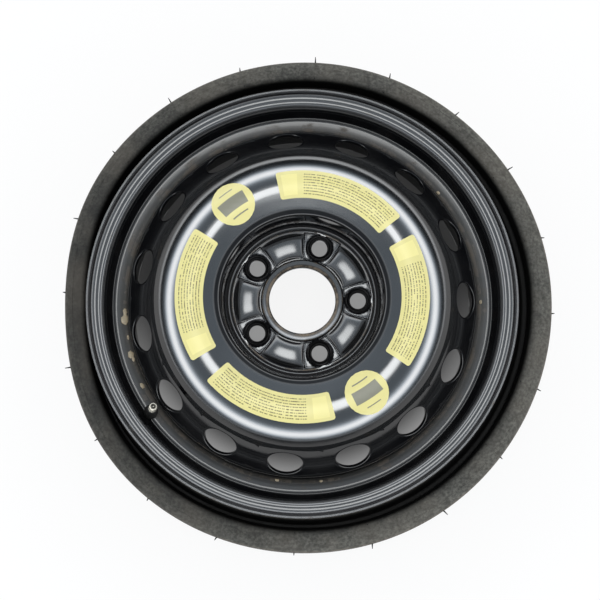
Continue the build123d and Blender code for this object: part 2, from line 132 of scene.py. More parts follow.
# Snap-in valve: seat on the rim's ledge, direction out of it, stem thread and core spring.
VALVE_SEAT = (-153.228, -111.327, -15.281)
VALVE_DIRECTION = (0.181989, 0.132223, 0.97437)
THREAD_START, THREAD_END, THREAD_R, THREAD_RIDGE = 20.6, 31.2, 3.72, 0.42
SPRING_FOOT, SPRING_LENGTH, SPRING_R, SPRING_WIRE_R, SPRING_TURNS = 13.55, 8.3, 0.95, 0.15, 6.0
SPRING_STEEL, CORE_SEAL = (0.6, 0.6, 0.6), (0.6, 0.09, 0.06)

# Film labels: middle angle of each, in degrees, their places across the crown and their sizes.
ARC_LABELS = {"label_arc_1": 70.7, "label_arc_2": 179.4, "label_arc_3": 253.5, "label_arc_4": 357.6}
ROUND_LABELS = {"label_round_1": 126.8, "label_round_2": 303.4}
ARC_MIDDLE_R, ARC_SPAN, ARC_WIDTH, ARC_CORNER = 111.4, 63.3, 27.6, 2.5
ROUND_MIDDLE_R, ROUND_D = 114.0, 43.2
FILM_GAP, FILM_SHEET = 0.1, 0.15

# Plain print: rows of strokes and pale field of a long label, in shares of its span, and bars of a round one.
ROWS = {"off": -0.085, "share": 0.74, "width": 0.0195, "columns": 46}
FIELD = {"off": 0.405, "share": 0.12, "height": 21.0, "cells": (10, 18), "lift": 0.00003}
BARS = [((0, 0.4), 29.0, 13.0, (24, 12)), ((0, -12.4), 20.0, 1.3, (16, 1)), ((0, 13.2), 14.0, 1.0, (12, 1))]
LAID = {"Film": "Object", "Radius": 0.11, "Angle": 0.0, "Lift": 0.00004}

# Dried flakes on the ledge: angle, radius and half sizes across and along the seam, then their levels.
FLAKES = [(185.4, 181.6, 5.6, 8.4), (182.9, 180.9, 3.4, 6.0), (196.8, 182.0, 4.8, 6.2),
          (198.3, 180.8, 2.4, 5.0), (207.4, 182.8, 3.0, 5.2), (39.3, 181.2, 2.4, 3.4),
          (0.4, 182.0, 2.2, 3.4), (191.0, 180.6, 1.8, 4.0), (262.0, 181.0, 2.0, 3.4),
          (276.0, 181.2, 1.8, 2.8)]
FLAKE_LEVELS = [(0.0, 1.0), (0.5, 0.92), (0.75, 0.55)]
FLAKE_CORNERS, FLAKE_SPREAD = 14, 0.68
LEDGE_R, LEDGE_Z, LEDGE_SLOPE = 179.3, -17.5, math.radians(13)

# Rings of the paint about the axis: radius, half width and amount. Haze adds softness and its lowest facing.
RIM_RINGS = {
    "wear": [(216.0, 1.8, 0.08), (204.0, 1.2, 0.1)],
    "dirt": [(181.0, 5.0, 0.24), (186.0, 6.0, 0.14)],
    "haze": [(189.0, 5.0, 0.3, 0.0, -1.0), (206.5, 7.0, 0.55, 0.0, -1.0), (217.0, 3.6, 0.6, 0.0, -1.0)],
    # Film: grey dust on the ledge, made stronger to the left and right as a painted reflection.
    "film": [(183.0, 8.5, 0.17)]}
DISC_RINGS = {
    "wear": [(70.4, 1.7, 0.22), (35.2, 3.0, 0.32), (40.2, 1.6, 0.2)],
    "dirt": [(177.0, 4.0, 0.14), (44.5, 4.0, 0.1)],
    "haze": [(39.8, 4.2, 0.8, 0.0, 0.8), (55.2, 13.0, 0.8, 0.12, 0.87), (70.6, 4.2, 0.9, 0.0, 0.8),
             (114.5, 28.5, 1.0, 0.04, -1.0)]}
WELD_RINGS = {"wear": [(174.0, 4.0, 0.2)]}
RING_EDGE, PAINT_DUST, PAINT_COAT = 3.0, 0.3, 0.4

# Grain of each finish, and the strength and depth of its bump.
PAINT_GRAIN = {"Grain scale": 1400.0, "Wave scale": 110.0, "Grain share": 0.25}
PAINT_BUMP = {"Strength": 0.12, "Distance": 0.0002}
RUBBER_GRAIN = {"Grain scale": 700.0, "Wave scale": 60.0, "Grain share": 0.5}
RUBBER_BUMP = {"Strength": 0.3, "Distance": 0.0004}
METAL_GRAIN = {"Grain scale": 2600.0, "Wave scale": 420.0, "Grain share": 0.5}
METAL_BUMP = {"Strength": 0.15, "Distance": 0.0001}
FILM_GRAIN = {"Grain scale": 1500.0, "Wave scale": 130.0, "Grain share": 0.3}
FILM_BUMP = {"Strength": 0.12, "Distance": 0.0003}
FILM_DIRT = (0.5, 0.46, 0.38)
# Direction across the wheel towards its left side, where the tyre gets painted shade.
PAINTED_SHADE_SIDE = (-0.985, -0.17, 0)

# Stage: floor with painted shade under the wheel and painted light by place, dome's levels by height on the
# camera's axis, softbox, camera.
FLOOR_HALF, FLOOR_SHARE = 6.0, 0.88
FLOOR_PAINTED_LIGHT = {"side": (-0.17, 0.05, 0.4, 0.03), "vents": (0.143, 0.186, 0.1, 1.0), "outside": (0.2, 0.22),
              "hub": (0.07, 0.085, 0.3, 0.0), "bore": (0.04, 0.043, 1.0, 0.0)}
# Centre of the painted pool of light under the bore.
BORE_LIGHT_CENTRE = (0, 0.0145, 0)
DOME_STOPS = [(0.0, 0.03), (0.1, 0.06), (0.2, 0.2), (0.27, 0.6), (0.33, 1.6), (0.4, 2.7), (0.48, 3.2),
              (0.55, 2.8), (0.62, 1.6), (0.68, 0.7), (0.74, 0.36), (0.82, 0.27), (1.0, 0.25)]
DOME_COOL = 0.14
SOFTBOX = {"from": 0.954, "to": 0.99, "level": 3.1, "colour": (1, 1, 0.985, 1)}
WHITE = (1, 1, 1, 1)
SENSOR, CAMERA_SHIFT = 36.0, (-0.0038, 0.0020)


class PaintFinish(bpy.types.PropertyGroup):
    """Finish of the pressed steel."""
    paint: FloatVectorProperty(
        name="Paint", description="Colour of the dip paint", subtype="COLOR", size=3,
        default=(0.0035, 0.0036, 0.0042), min=0, max=1)
    rust: FloatVectorProperty(
        name="Rust", description="Colour of bare, browned steel", subtype="COLOR", size=3,
        default=(0.23, 0.175, 0.12), min=0, max=1)
    dust: FloatVectorProperty(
        name="Dust", description="Colour of settled dust", subtype="COLOR", size=3,
        default=(0.34, 0.33, 0.31), min=0, max=1)
    haze: FloatVectorProperty(
        name="Haze", description="Colour of the hazed rings' gloss", subtype="COLOR", size=3,
        default=(0.26, 0.265, 0.27), min=0, max=1)
    roughness: FloatProperty(
        name="Roughness", description="Roughness of clean paint", subtype="FACTOR", default=0.1, min=0, max=1)


class TyreShape(bpy.types.PropertyGroup):
    """Rubber and lie of the folded tyre."""
    rubber: FloatVectorProperty(
        name="Rubber", description="Colour of the rubber", subtype="COLOR", size=3,
        default=(0.041, 0.04, 0.035), min=0, max=1)
    dirt: FloatVectorProperty(
        name="Dirt", description="Colour of dried dirt on the rubber", subtype="COLOR", size=3,
        default=(0.19, 0.165, 0.135), min=0, max=1)
    shift: FloatProperty(
        name="Shift", description="How far the fold sits off the axis", unit="LENGTH", default=0.00265)
    dent: FloatProperty(
        name="Dent", description="How far the fold is pressed in at one side", unit="LENGTH", default=0.0067)
    dent_angle: FloatProperty(
        name="Dent angle", description="Where the fold is pressed in", unit="ROTATION",
        default=math.radians(181))
    hair_count: IntProperty(
        name="Moulding hairs", description="Vent hairs round the shoulder", default=20, min=1)
    hair_length: FloatProperty(
        name="Hair length", description="Longest vent hair", unit="LENGTH", default=0.006, min=0)
    hair_thickness: FloatProperty(
        name="Hair thickness", description="Thickness of a vent hair at its root", unit="LENGTH",
        default=0.0016, min=0)


class ValveFinish(bpy.types.PropertyGroup):
    """Metal and rubber of the valve."""
    brass: FloatVectorProperty(
        name="Brass", description="Colour of the stem", subtype="COLOR", size=3,
        default=(0.78, 0.74, 0.64), min=0, max=1)
    rubber: FloatVectorProperty(
        name="Rubber", description="Colour of the valve's rubber", subtype="COLOR", size=3,
        default=(0.013, 0.013, 0.013), min=0, max=1)
    pitch: FloatProperty(
        name="Thread pitch", description="Rise of the stem's thread in a turn", unit="LENGTH",
        default=0.0008, min=0.0001)


class LabelPrint(bpy.types.PropertyGroup):
    """Film and plain print of the labels."""
    film: FloatVectorProperty(
        name="Film", description="Colour of the film", subtype="COLOR", size=3,
        default=(0.8, 0.725, 0.3), min=0, max=1)
    ink: FloatVectorProperty(
        name="Ink", description="Colour of the print", subtype="COLOR", size=3,
        default=(0.24, 0.235, 0.18), min=0, max=1)
    row_ink: FloatVectorProperty(
        name="Row ink", description="Colour of the fine rows", subtype="COLOR", size=3,
        default=(0.12, 0.1, 0.045), min=0, max=1)
    rows: IntProperty(name="Rows", description="Rows of strokes on a long label", default=8, min=1)
    stroke: FloatProperty(
        name="Stroke height", description="Height of a stroke", unit="LENGTH", default=0.00085, min=0)
    seed: IntProperty(name="Seed", description="Seed of the strokes' lengths", default=4)


class SeamGrime(bpy.types.PropertyGroup):
    """Dried residue along the seam of disc and rim."""
    residue: FloatVectorProperty(
        name="Residue", description="Colour of the dried flakes", subtype="COLOR", size=3,
        default=(0.55, 0.45, 0.3), min=0, max=1)


class StudioStage(bpy.types.PropertyGroup):
    """Floor, light and camera."""
    floor: FloatVectorProperty(
        name="Floor", description="Colour of the floor", subtype="COLOR", size=3,
        default=(0.9, 0.9, 0.9), min=0, max=1)
    level: FloatProperty(name="Light", description="Level of the studio light", default=1.0, min=0)
    distance: FloatProperty(
        name="Distance", description="Camera's distance from the hub", unit="LENGTH", default=1.5)
    tilt: FloatProperty(
        name="Tilt", description="Camera's tilt off the wheel's axis", unit="ROTATION",
        default=math.radians(7.5))
    lens: FloatProperty(name="Lens", description="Focal length in millimetres", default=89.16)


def unit(vector):
    """Vector of length 1."""
    return vector / np.linalg.norm(vector)


def left_of(run):
    """Left-hand normal of a direction in the section's plane."""
    return np.array([-run[1], run[0]])


def straight_run(start, end, step):
    """Points and normals along a straight run, without its end."""
    length = np.linalg.norm(end - start)
    if length < 1e-7:
        return []
    count = max(1, math.ceil(length / step - 0.01))
    normal = left_of(unit(end - start))
    return [(start + (end - start) * index / count, normal) for index in range(count)]


def bent_path(corners, bends, run_step=7.0, bend_step=2.0, bend_turn=0.12):
    """Points and left-hand normals, in millimetres, along straight runs that are joined by round bends."""
    corners = [np.array(corner, float) for corner in corners]
    stations, start = [], corners[0]
    for before, corner, after, radius in zip(corners, corners[1:], corners[2:], bends):
        into, out = unit(corner - before), unit(after - corner)
        turn = math.atan2(into[0] * out[1] - into[1] * out[0], float(into @ out))
        side = math.copysign(1, turn)
        reach = radius * math.tan(abs(turn) / 2)
        stations += straight_run(start, corner - into * reach, run_step)
        centre = corner - into * reach + left_of(into) * radius * side
        count = math.ceil(abs(turn) / min(bend_turn, bend_step / radius))
        for index in range(count):
            heading = math.atan2(into[1], into[0]) + turn * index / count
            normal = np.array([-math.sin(heading), math.cos(heading)])
            stations.append((centre - normal * radius * side, normal))
        start = corner + out * reach
    stations += straight_run(start, corners[-1], run_step)
    stations.append((corners[-1], stations[-1][1]))
    return np.array([point for point, _ in stations]), np.array([normal for _, normal in stations])


def smooth_max(first, second, blend):
    """Larger of two heights, with a soft valley of a given size where they meet."""
    return 0.5 * (first + second + np.sqrt((first - second) ** 2 + blend**2))


def smooth_min(first, second, blend):
    """Smaller of two heights, with a soft edge of a given size where they meet."""
    return -smooth_max(-first, -second, blend)


def revolved(radius, height, angle):
    """Points at a radius, height and angle about the wheel's axis."""
    return np.stack(np.broadcast_arrays(radius * np.cos(angle), radius * np.sin(angle), height), -1)


def grid_quads(rings, around, closed=False, joined=False):
    """Quads between rings of points, which may each be closed, with the last joined to the first."""
    ring, step = np.meshgrid(np.arange(rings if joined else rings - 1),
                             np.arange(around if closed else around - 1), indexing="ij")
    next_ring, next_step = (ring + 1) % rings, (step + 1) % around
    corners = [ring * around + step, next_ring * around + step, next_ring * around + next_step,
               ring * around + next_step]
    return np.stack(corners, -1).reshape(-1, 4)


def turned_points(section, move=None):
    """Points of a closed section, in millimetres, turned about the wheel's axis, and their quads."""
    angles = np.linspace(0, 2 * math.pi, STEPS, endpoint=False)
    points = revolved(section[:, 0], section[:, 1], angles[:, None])
    if move:
        points = move(points)
    quads = grid_quads(STEPS, len(section), True, True)[:, TURNED_OVER]
    return points.reshape(-1, 3) * MM, quads


def make_piece(name, points, faces, material, slot, sharp=math.radians(50)):
    """Mesh piece of the wheel, in metres, with its faces outwards and smooth up to a sharp angle."""
    mesh = bpy.data.meshes.new(name)
    mesh.from_pydata([tuple(point) for point in points], [], [tuple(face) for face in faces])
    mesh.validate()
    shape = bmesh.new()
    shape.from_mesh(mesh)
    bmesh.ops.recalc_face_normals(shape, faces=shape.faces)
    shape.to_mesh(mesh)
    shape.free()
    mesh.shade_smooth()
    mesh.set_sharp_from_angle(angle=sharp)
    return place_piece(name, mesh, material)


def place_piece(name, mesh, material):
    """Object of a mesh at the origin that rides on the wheel, with the given material."""
    piece = bpy.data.objects.new(name, mesh)
    bpy.context.scene.collection.objects.link(piece)
    mesh.materials.clear()
    mesh.materials.append(material)
    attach(piece, "wheel")
    return piece


def grown_piece(name, tree, values, material, mesh=None):
    """Piece of a geometry node tree, made a plain mesh, with its inputs set by their identifiers."""
    source = bpy.data.objects.new(name, mesh or bpy.data.meshes.new(name))
    bpy.context.scene.collection.objects.link(source)
    modifier = source.modifiers.new("Grow", "NODES")
    modifier.node_group = tree
    values = {**values, "Material": material}
    for item in tree.interface.items_tree:
        if item.in_out == "INPUT" and item.name in values:
            modifier[item.identifier] = values[item.name]
    bpy.context.view_layer.update()
    graph = bpy.context.evaluated_depsgraph_get()
    made = bpy.data.meshes.new_from_object(source.evaluated_get(graph))
    made.name = name
    source.modifiers.remove(modifier)
    bpy.data.objects.remove(source)
    return place_piece(name, made, material)


def dress_node(name, material):
    """Gives a carried-over CAD node its material."""
    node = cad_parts[name]
    node.data.materials.clear()
    node.data.materials.append(material)


def set_inputs(tree, node, inputs):
    """Sets a node's inputs by name or number: to a value, or to another node's output by a link."""
    for key, value in dict(inputs).items():
        if isinstance(value, bpy.types.NodeSocket):
            tree.links.new(value, node.inputs[key])
        else:
            node.inputs[key].default_value = value


def add_node(tree, kind, inputs=(), output=0, **settings):
    """One output of a new node with its settings and inputs."""
    made = tree.nodes.new(kind)
    for key, value in settings.items():
        setattr(made, key, value)
    set_inputs(tree, made, inputs)
    return made.outputs[output]


def group_node(tree, group, inputs, output=0):
    """One output of a node group placed in a material."""
    return add_node(tree, "ShaderNodeGroup", inputs, output, node_tree=group)


def math_node(tree, operation, *values, clamp=False):
    """Output of a math node."""
    return add_node(tree, "ShaderNodeMath", enumerate(values), operation=operation, use_clamp=clamp)


def chained(tree, operation, *values):
    """Output of math nodes that take up one value after another."""
    made = values[0]
    for value in values[1:]:
        made = math_node(tree, operation, made, value)
    return made


def vector_node(tree, operation, *values, output=0):
    """Output of a vector math node."""
    return add_node(tree, "ShaderNodeVectorMath", enumerate(values), output, operation=operation)


def axis_distance(tree, position, centre=(0, 0, 0)):
    """Distance of a position from the wheel's axis, or from an upright line through a centre."""
    flat = vector_node(tree, "MULTIPLY", position, (1, 1, 0))
    return vector_node(tree, "DISTANCE", flat, centre, output="Value")


def ramp_node(tree, value, low, high, start=0.0, end=1.0):
    """Output of a soft step of a value between two limits."""
    limits = {"Value": value, "From Min": low, "From Max": high, "To Min": start, "To Max": end}
    return add_node(tree, "ShaderNodeMapRange", limits, "Result", interpolation_type="SMOOTHSTEP")


def noise_node(tree, position, scale, detail=3.0, rough=0.55):
    """Factor of a noise texture."""
    inputs = {"Vector": position, "Scale": scale, "Detail": detail, "Roughness": rough}
    return add_node(tree, "ShaderNodeTexNoise", inputs)


def mix_colours(tree, factor, first, second, blend="MIX"):
    """Colour mixed from two."""
    inputs = {0: factor, 6: first, 7: second}
    return add_node(tree, "ShaderNodeMix", inputs, 2, data_type="RGBA", blend_type=blend)


def colour(values, share=1.0):
    """Colour at a share of its level, with full alpha."""
    return (*(value * share for value in values), 1.0)


def new_tree(family, name, inputs, outputs):
    """New node tree and its inputs and outputs, each named with a default number or a kind of socket."""
    tree = bpy.data.node_groups.new(name, family)
    for direction, sockets in (("INPUT", inputs), ("OUTPUT", outputs)):
        for label, given in sockets.items():
            kind = given if isinstance(given, str) else type(given).__name__.title()
            made = tree.interface.new_socket(name=label, in_out=direction, socket_type="NodeSocket" + kind)
            if kind != given:
                made.default_value = given
    return tree, tree.nodes.new("NodeGroupInput").outputs, tree.nodes.new("NodeGroupOutput").inputs


def ring_wear_group():
    """Mask of worn patches in a ring about the wheel's axis."""
    if "Ring wear" in bpy.data.node_groups:
        return bpy.data.node_groups["Ring wear"]
    tree, given, out = new_tree("ShaderNodeTree", "Ring wear", {
        "Position": "Vector", "Radius": 0.1, "Half width": 0.002, "Amount": 0.5}, {"Mask": "Float"})
    radius = axis_distance(tree, given["Position"])
    off = math_node(tree, "ABSOLUTE", math_node(tree, "SUBTRACT", radius, given["Radius"]))
    band = ramp_node(tree, math_node(tree, "DIVIDE", off, given["Half width"]), 0.25, 1.0, 1.0, 0.0)
    patches = math_node(tree, "ADD", noise_node(tree, given["Position"], 55.0, 5.0, 0.65), given["Amount"])
    tree.links.new(ramp_node(tree, math_node(tree, "MULTIPLY", patches, band), 0.62, 0.95), out["Mask"])
    return tree


def dust_group():
    """Mask of dust that has settled on what faces up, with specks."""
    if "Settled dust" in bpy.data.node_groups:
        return bpy.data.node_groups["Settled dust"]
    tree, given, out = new_tree("ShaderNodeTree", "Settled dust", {
        "Position": "Vector", "Facing": 1.0, "Amount": 0.3}, {"Mask": "Float"})
    cloud = ramp_node(tree, noise_node(tree, given["Position"], 24.0, 6.0, 0.62), 0.4, 0.78, 0.0, 0.6)
    speck = ramp_node(tree, noise_node(tree, given["Position"], 900.0, 2.0, 0.5), 0.7, 0.78, 0.0, 0.8)
    up = ramp_node(tree, given["Facing"], 0.05, 0.9)
    both = math_node(tree, "MULTIPLY", math_node(tree, "ADD", cloud, speck), up)
    tree.links.new(math_node(tree, "MULTIPLY", both, given["Amount"], clamp=True), out["Mask"])
    return tree


def grain_group():
    """Height of a fine grain on a soft waviness, and a slow cloud for gloss."""
    if "Surface grain" in bpy.data.node_groups:
        return bpy.data.node_groups["Surface grain"]
    tree, given, out = new_tree("ShaderNodeTree", "Surface grain", {
        "Position": "Vector", "Grain scale": 900.0, "Wave scale": 90.0, "Grain share": 0.3},
        {"Height": "Float", "Cloud": "Float"})
    grain = noise_node(tree, given["Position"], given["Grain scale"], 2.0)
    wave = noise_node(tree, given["Position"], given["Wave scale"], 2.0)
    height = add_node(tree, "ShaderNodeMix", {0: given["Grain share"], 2: wave, 3: grain}, data_type="FLOAT")
    tree.links.new(height, out["Height"])
    tree.links.new(noise_node(tree, given["Position"], 17.0, 5.0, 0.6), out["Cloud"])
    return tree


def new_material(name, grain, bump):
    """Material with a grained bump, its node tree, shader, object position, facing and gloss cloud."""
    material = bpy.data.materials.new(name)
    material.use_nodes = True
    tree = material.node_tree
    shader = tree.nodes["Principled BSDF"]
    coordinates = tree.nodes.new("ShaderNodeTexCoord").outputs
    position = coordinates["Object"]
    facing = add_node(tree, "ShaderNodeSeparateXYZ", {0: coordinates["Normal"]}, "Z")
    height = group_node(tree, grain_group(), {"Position": position, **grain}, "Height")
    set_inputs(tree, shader, {"Normal": add_node(tree, "ShaderNodeBump", {"Height": height, **bump})})
    return material, tree, shader, position, facing, height.node.outputs["Cloud"]


def paint_material(name, finish, rings, coat):
    """Gloss black paint with worn, grimy, hazed and dusty rings and settled dust; the dusty film ring is
    lighter to the left and right as a painted reflection.
    """
    material, tree, shader, position, facing, cloud = new_material(name, PAINT_GRAIN, PAINT_BUMP)
    settled = group_node(tree, dust_group(), {"Position": position, "Facing": facing, "Amount": PAINT_DUST})
    reach = axis_distance(tree, position)

    def worn_rings(kind):
        masks = [group_node(tree, ring_wear_group(), {
            "Position": position, "Radius": radius * MM, "Half width": half_width * MM, "Amount": amount})
            for radius, half_width, amount in rings.get(kind, ())]
        return chained(tree, "MAXIMUM", 0.0, *masks)

    def plain_ring(radius, half_width, amount):
        off = math_node(tree, "ABSOLUTE", math_node(tree, "SUBTRACT", reach, radius * MM))
        return ramp_node(tree, off, (half_width - RING_EDGE) * MM, half_width * MM, amount, 0.0)

    wear, dirt = worn_rings("wear"), worn_rings("dirt")
    grime = math_node(tree, "MAXIMUM", wear, dirt)
    dusted = math_node(tree, "MULTIPLY", settled, 0.12)
    base = mix_colours(tree, dusted, colour(finish.paint), colour(finish.dust))
    # Grey dust film on the ledge, stronger to the left and right: dust, with a painted reflection at the
    # sides.
    for ring in rings.get("film", ()):
        painted_light_side = math_node(tree, "ABSOLUTE", add_node(tree, "ShaderNodeSeparateXYZ", {0: position}, "X"))
        painted_light_side = ramp_node(tree, painted_light_side, 0.09, 0.18, 0.8, 1.5)
        film = chained(tree, "MULTIPLY", plain_ring(*ring), math_node(tree, "ADD", cloud, 0.5), painted_light_side)
        settled = math_node(tree, "MAXIMUM", settled, film)
        base = mix_colours(tree, film, base, colour(finish.dust))
    haze, soft = 0.0, 0.0
    for radius, half_width, amount, softness, lowest in rings.get("haze", ()):
        upward = ramp_node(tree, facing, lowest, lowest + 0.1)
        mask = math_node(tree, "MULTIPLY", plain_ring(radius, half_width, amount), upward)
        haze = math_node(tree, "MAXIMUM", haze, mask)
        soft = math_node(tree, "MAXIMUM", soft, math_node(tree, "MULTIPLY", mask, softness))
    if "haze" in rings:
        haze = math_node(tree, "MULTIPLY", haze, math_node(tree, "SUBTRACT", 1.0, grime))
        base = mix_colours(tree, haze, base, colour(finish.haze))
        set_inputs(tree, shader, {"Metallic": haze})
    base = mix_colours(tree, math_node(tree, "MULTIPLY", dirt, 0.55), base, colour(finish.rust, 0.6))
    spots = noise_node(tree, position, 260.0, 4.0)
    rust = mix_colours(tree, spots, colour(finish.rust), colour(finish.rust, 0.35))
    rough = math_node(tree, "MULTIPLY_ADD", cloud, 0.08, finish.roughness - 0.04)
    rough = math_node(tree, "MULTIPLY_ADD", settled, 0.12, rough)
    rough = math_node(tree, "ADD", rough, soft)
    covered = math_node(tree, "MAXIMUM", grime, settled)
    set_inputs(tree, shader, {
        "Base Color": mix_colours(tree, wear, base, rust),
        "Roughness": math_node(tree, "MULTIPLY_ADD", grime, 0.4, rough, clamp=True),
        "Coat Roughness": 0.06,
        "Coat Weight": math_node(tree, "SUBTRACT", coat, covered, clamp=True)})
    return material


def rubber_material(name, base_colour, dirt_colour, dust, roughness=0.55, folded=False):
    """Moulded black rubber, mottled, with dried dirt and dust; when folded, clean inside the fold, with
    painted shade inside it, towards its groove and on the wheel's left side, and lighter towards the tread.
    """
    material, tree, shader, position, facing, cloud = new_material(name, RUBBER_GRAIN, RUBBER_BUMP)
    settled = group_node(tree, dust_group(), {"Position": position, "Facing": facing, "Amount": dust})
    mottle_and_painted_shade = ramp_node(tree, noise_node(tree, position, 130.0, 5.0, 0.65), 0.3, 0.7, 0.7, 1.3)
    if folded:
        # The 'shown' attribute is 0 inside the fold and 1 on its open side. Inside the fold the rubber gets
        # painted shade and no dirt.
        clear_of_fold_shade = add_node(tree, "ShaderNodeAttribute", output="Fac", attribute_name="shown")
        speckle = ramp_node(tree, noise_node(tree, position, 330.0, 3.0, 0.6), 0.32, 0.68, 0.6, 1.4)
        # Painted shade towards the fold's groove; lighter towards the tread.
        outward = ramp_node(tree, axis_distance(tree, position), 0.222, 0.25, 0.5, 1.85)
        # Painted shade: the tyre is darker on its left side and a little lighter on its right.
        painted_light_side = vector_node(tree, "DOT_PRODUCT", position, PAINTED_SHADE_SIDE, output="Value")
        painted_side_shade = ramp_node(tree, painted_light_side, -0.02, 0.25, 1.06, 0.55)
        # Painted shade inside the fold.
        inside = math_node(tree, "MULTIPLY_ADD", clear_of_fold_shade, 0.88, 0.12)
        mottle_and_painted_shade = chained(tree, "MULTIPLY", mottle_and_painted_shade, speckle, outward, painted_side_shade, inside)
        patches = ramp_node(tree, noise_node(tree, position, 11.0, 3.0, 0.5), 0.42, 0.68, 0.0, 0.5)
        shoulder = chained(tree, "MULTIPLY", ramp_node(tree, facing, 0.15, 0.35),
                           ramp_node(tree, facing, 0.5, 0.8, 0.5, 0.0), mottle_and_painted_shade)
        settled = chained(tree, "MAXIMUM", settled, patches, shoulder)
        settled = math_node(tree, "MULTIPLY", settled, clear_of_fold_shade)
    base = mix_colours(tree, 1.0, colour(base_colour), mottle_and_painted_shade, "MULTIPLY")
    rough = math_node(tree, "MULTIPLY_ADD", cloud, 0.25, roughness - 0.12)
    dirty = math_node(tree, "MULTIPLY", settled, 0.45)
    set_inputs(tree, shader, {
        "Base Color": mix_colours(tree, dirty, base, colour(dirt_colour)),
        "Roughness": math_node(tree, "MULTIPLY_ADD", settled, 0.25, rough, clamp=True),
        "Specular IOR Level": 0.25})
    return material


def metal_material(name, base_colour, roughness):
    """Turned metal, dulled in patches."""
    material, tree, shader, position, _, _ = new_material(name, METAL_GRAIN, METAL_BUMP)
    dull = ramp_node(tree, noise_node(tree, position, 600.0, 4.0), 0.45, 0.75)
    set_inputs(tree, shader, {
        "Base Color": mix_colours(tree, dull, colour(base_colour), colour(base_colour, 0.72)),
        "Roughness": math_node(tree, "MULTIPLY_ADD", dull, 0.25, roughness),
        "Metallic": 1.0})
    return material


def film_material(name, base_colour, dust=0.35):
    """Satin film, slightly dirty."""
    material, tree, shader, position, facing, cloud = new_material(name, FILM_GRAIN, FILM_BUMP)
    settled = group_node(tree, dust_group(), {"Position": position, "Facing": facing, "Amount": dust})
    tone = mix_colours(tree, cloud, colour(base_colour), colour(base_colour, 0.88))
    dirty = math_node(tree, "MULTIPLY", settled, 0.3)
    rough = math_node(tree, "MULTIPLY_ADD", cloud, 0.15, 0.25)
    set_inputs(tree, shader, {
        "Base Color": mix_colours(tree, dirty, tone, colour(FILM_DIRT)),
        "Roughness": math_node(tree, "MULTIPLY_ADD", settled, 0.2, rough),
        "IOR": 1.6})
    return material


def geometry_tree(name, inputs):
    """New geometry node tree with named inputs for its sizes and its material."""
    ends = {"Geometry": "Geometry"}
    return new_tree("GeometryNodeTree", name, {**ends, **inputs, "Material": "Material"}, ends)


def end_tree(tree, geometry, given, out):
    """Ends a tree in real geometry with one material."""
    real = add_node(tree, "GeometryNodeRealizeInstances", {0: geometry})
    made = add_node(tree, "GeometryNodeSetMaterial", {"Geometry": real, "Material": given["Material"]})
    tree.links.new(made, out[0])


def hub_heights(x, y):
    """Front and back height of the hub land over its flat sheet, with collar, ridge, seats and pads."""
    radius, angle = np.hypot(x, y), np.degrees(np.arctan2(y, x))
    pitch = 360 / BOLTS["count"]
    beyond = np.maximum(radius - COLLAR["r"], 0) * 2 / COLLAR["width"]
    rise = COLLAR["height"] - beyond**2 * COLLAR["height"]
    rise -= np.maximum(COLLAR["r"] - radius, 0) * COLLAR["fall"]
    front = smooth_max(np.zeros_like(radius), rise, HUB_BLENDS["ring"])
    ridge = RIDGE["height"] * (1 - ((radius - RIDGE["r"]) * 2 / RIDGE["width"]) ** 2)
    front = smooth_max(front, ridge, HUB_BLENDS["ring"])

    turn = np.radians((angle + pitch / 2) % pitch - pitch / 2)
    away = np.hypot(radius * np.cos(turn) - BOLTS["r"], radius * np.sin(turn))
    ball_z = BOLTS["land"] + math.sqrt(BOLTS["ball"] ** 2 - BOLTS["hole"] ** 2) - DISC_SHEET
    mouth = math.sqrt(BOLTS["ball"] ** 2 - (ball_z - BOLTS["boss"]) ** 2)
    slope = 1 / math.tan(math.radians(BOLTS["draft"]))
    boss = BOLTS["boss"] - (away - mouth - BOLTS["rim"]) * slope
    seat = ball_z - np.sqrt(np.maximum(BOLTS["ball"] ** 2 - away**2, 1.0))
    seat = np.where(away < BOLTS["ball"] - 0.1, seat, BOLTS["clear"])

    middle, half = (PAD["inner"] + PAD["outer"]) / 2, (PAD["outer"] - PAD["inner"]) / 2
    lean = np.abs(angle % pitch - pitch / 2)

    def pillow(height, inset):
        across = 1 - (np.abs(radius - middle) / (half + PAD["swell"] - inset)) ** PAD["across"]
        half_angle = PAD["half_angle"] + np.degrees((PAD["swell"] - inset) / middle)
        along = 1 - (lean / half_angle) ** PAD["along"]
        inside = np.sqrt(np.maximum(across, 0) * np.maximum(along, 0))
        return height * (inside + np.minimum(np.minimum(across, along), 0))

    front = smooth_max(front, pillow(PAD["height"] + PAD["dome"], 0), HUB_BLENDS["pad"])
    front = smooth_max(front, np.minimum(boss, BOLTS["highest"]), HUB_BLENDS["boss"])
    back = np.maximum(pillow(PAD["height"], PAD["wall"]), 0)
    return smooth_min(front, seat, HUB_BLENDS["seat"]), np.where(radius < HUB_END, back, 0)


def sheet_shell(front, back, faces):
    """Closed shell from matching front and back points of a sheet, walled along its open edges."""
    keys = np.round(front * 1e4).astype(np.int64)
    _, first, where = np.unique(keys, axis=0, return_index=True, return_inverse=True)
    faces = where.reshape(-1)[faces]
    count = len(first)
    runs = np.stack([faces, np.roll(faces, -1, axis=1)], -1).reshape(-1, 2)
    codes = runs[:, 0] * count + runs[:, 1]
    start, end = runs[~np.isin(codes, runs[:, 1] * count + runs[:, 0])].T
    walls = np.stack([end, start, start + count, end + count], -1)
    points = np.concatenate([front[first], back[first]])
    return points * MM, np.concatenate([faces, faces[:, ::-1] + count, walls])


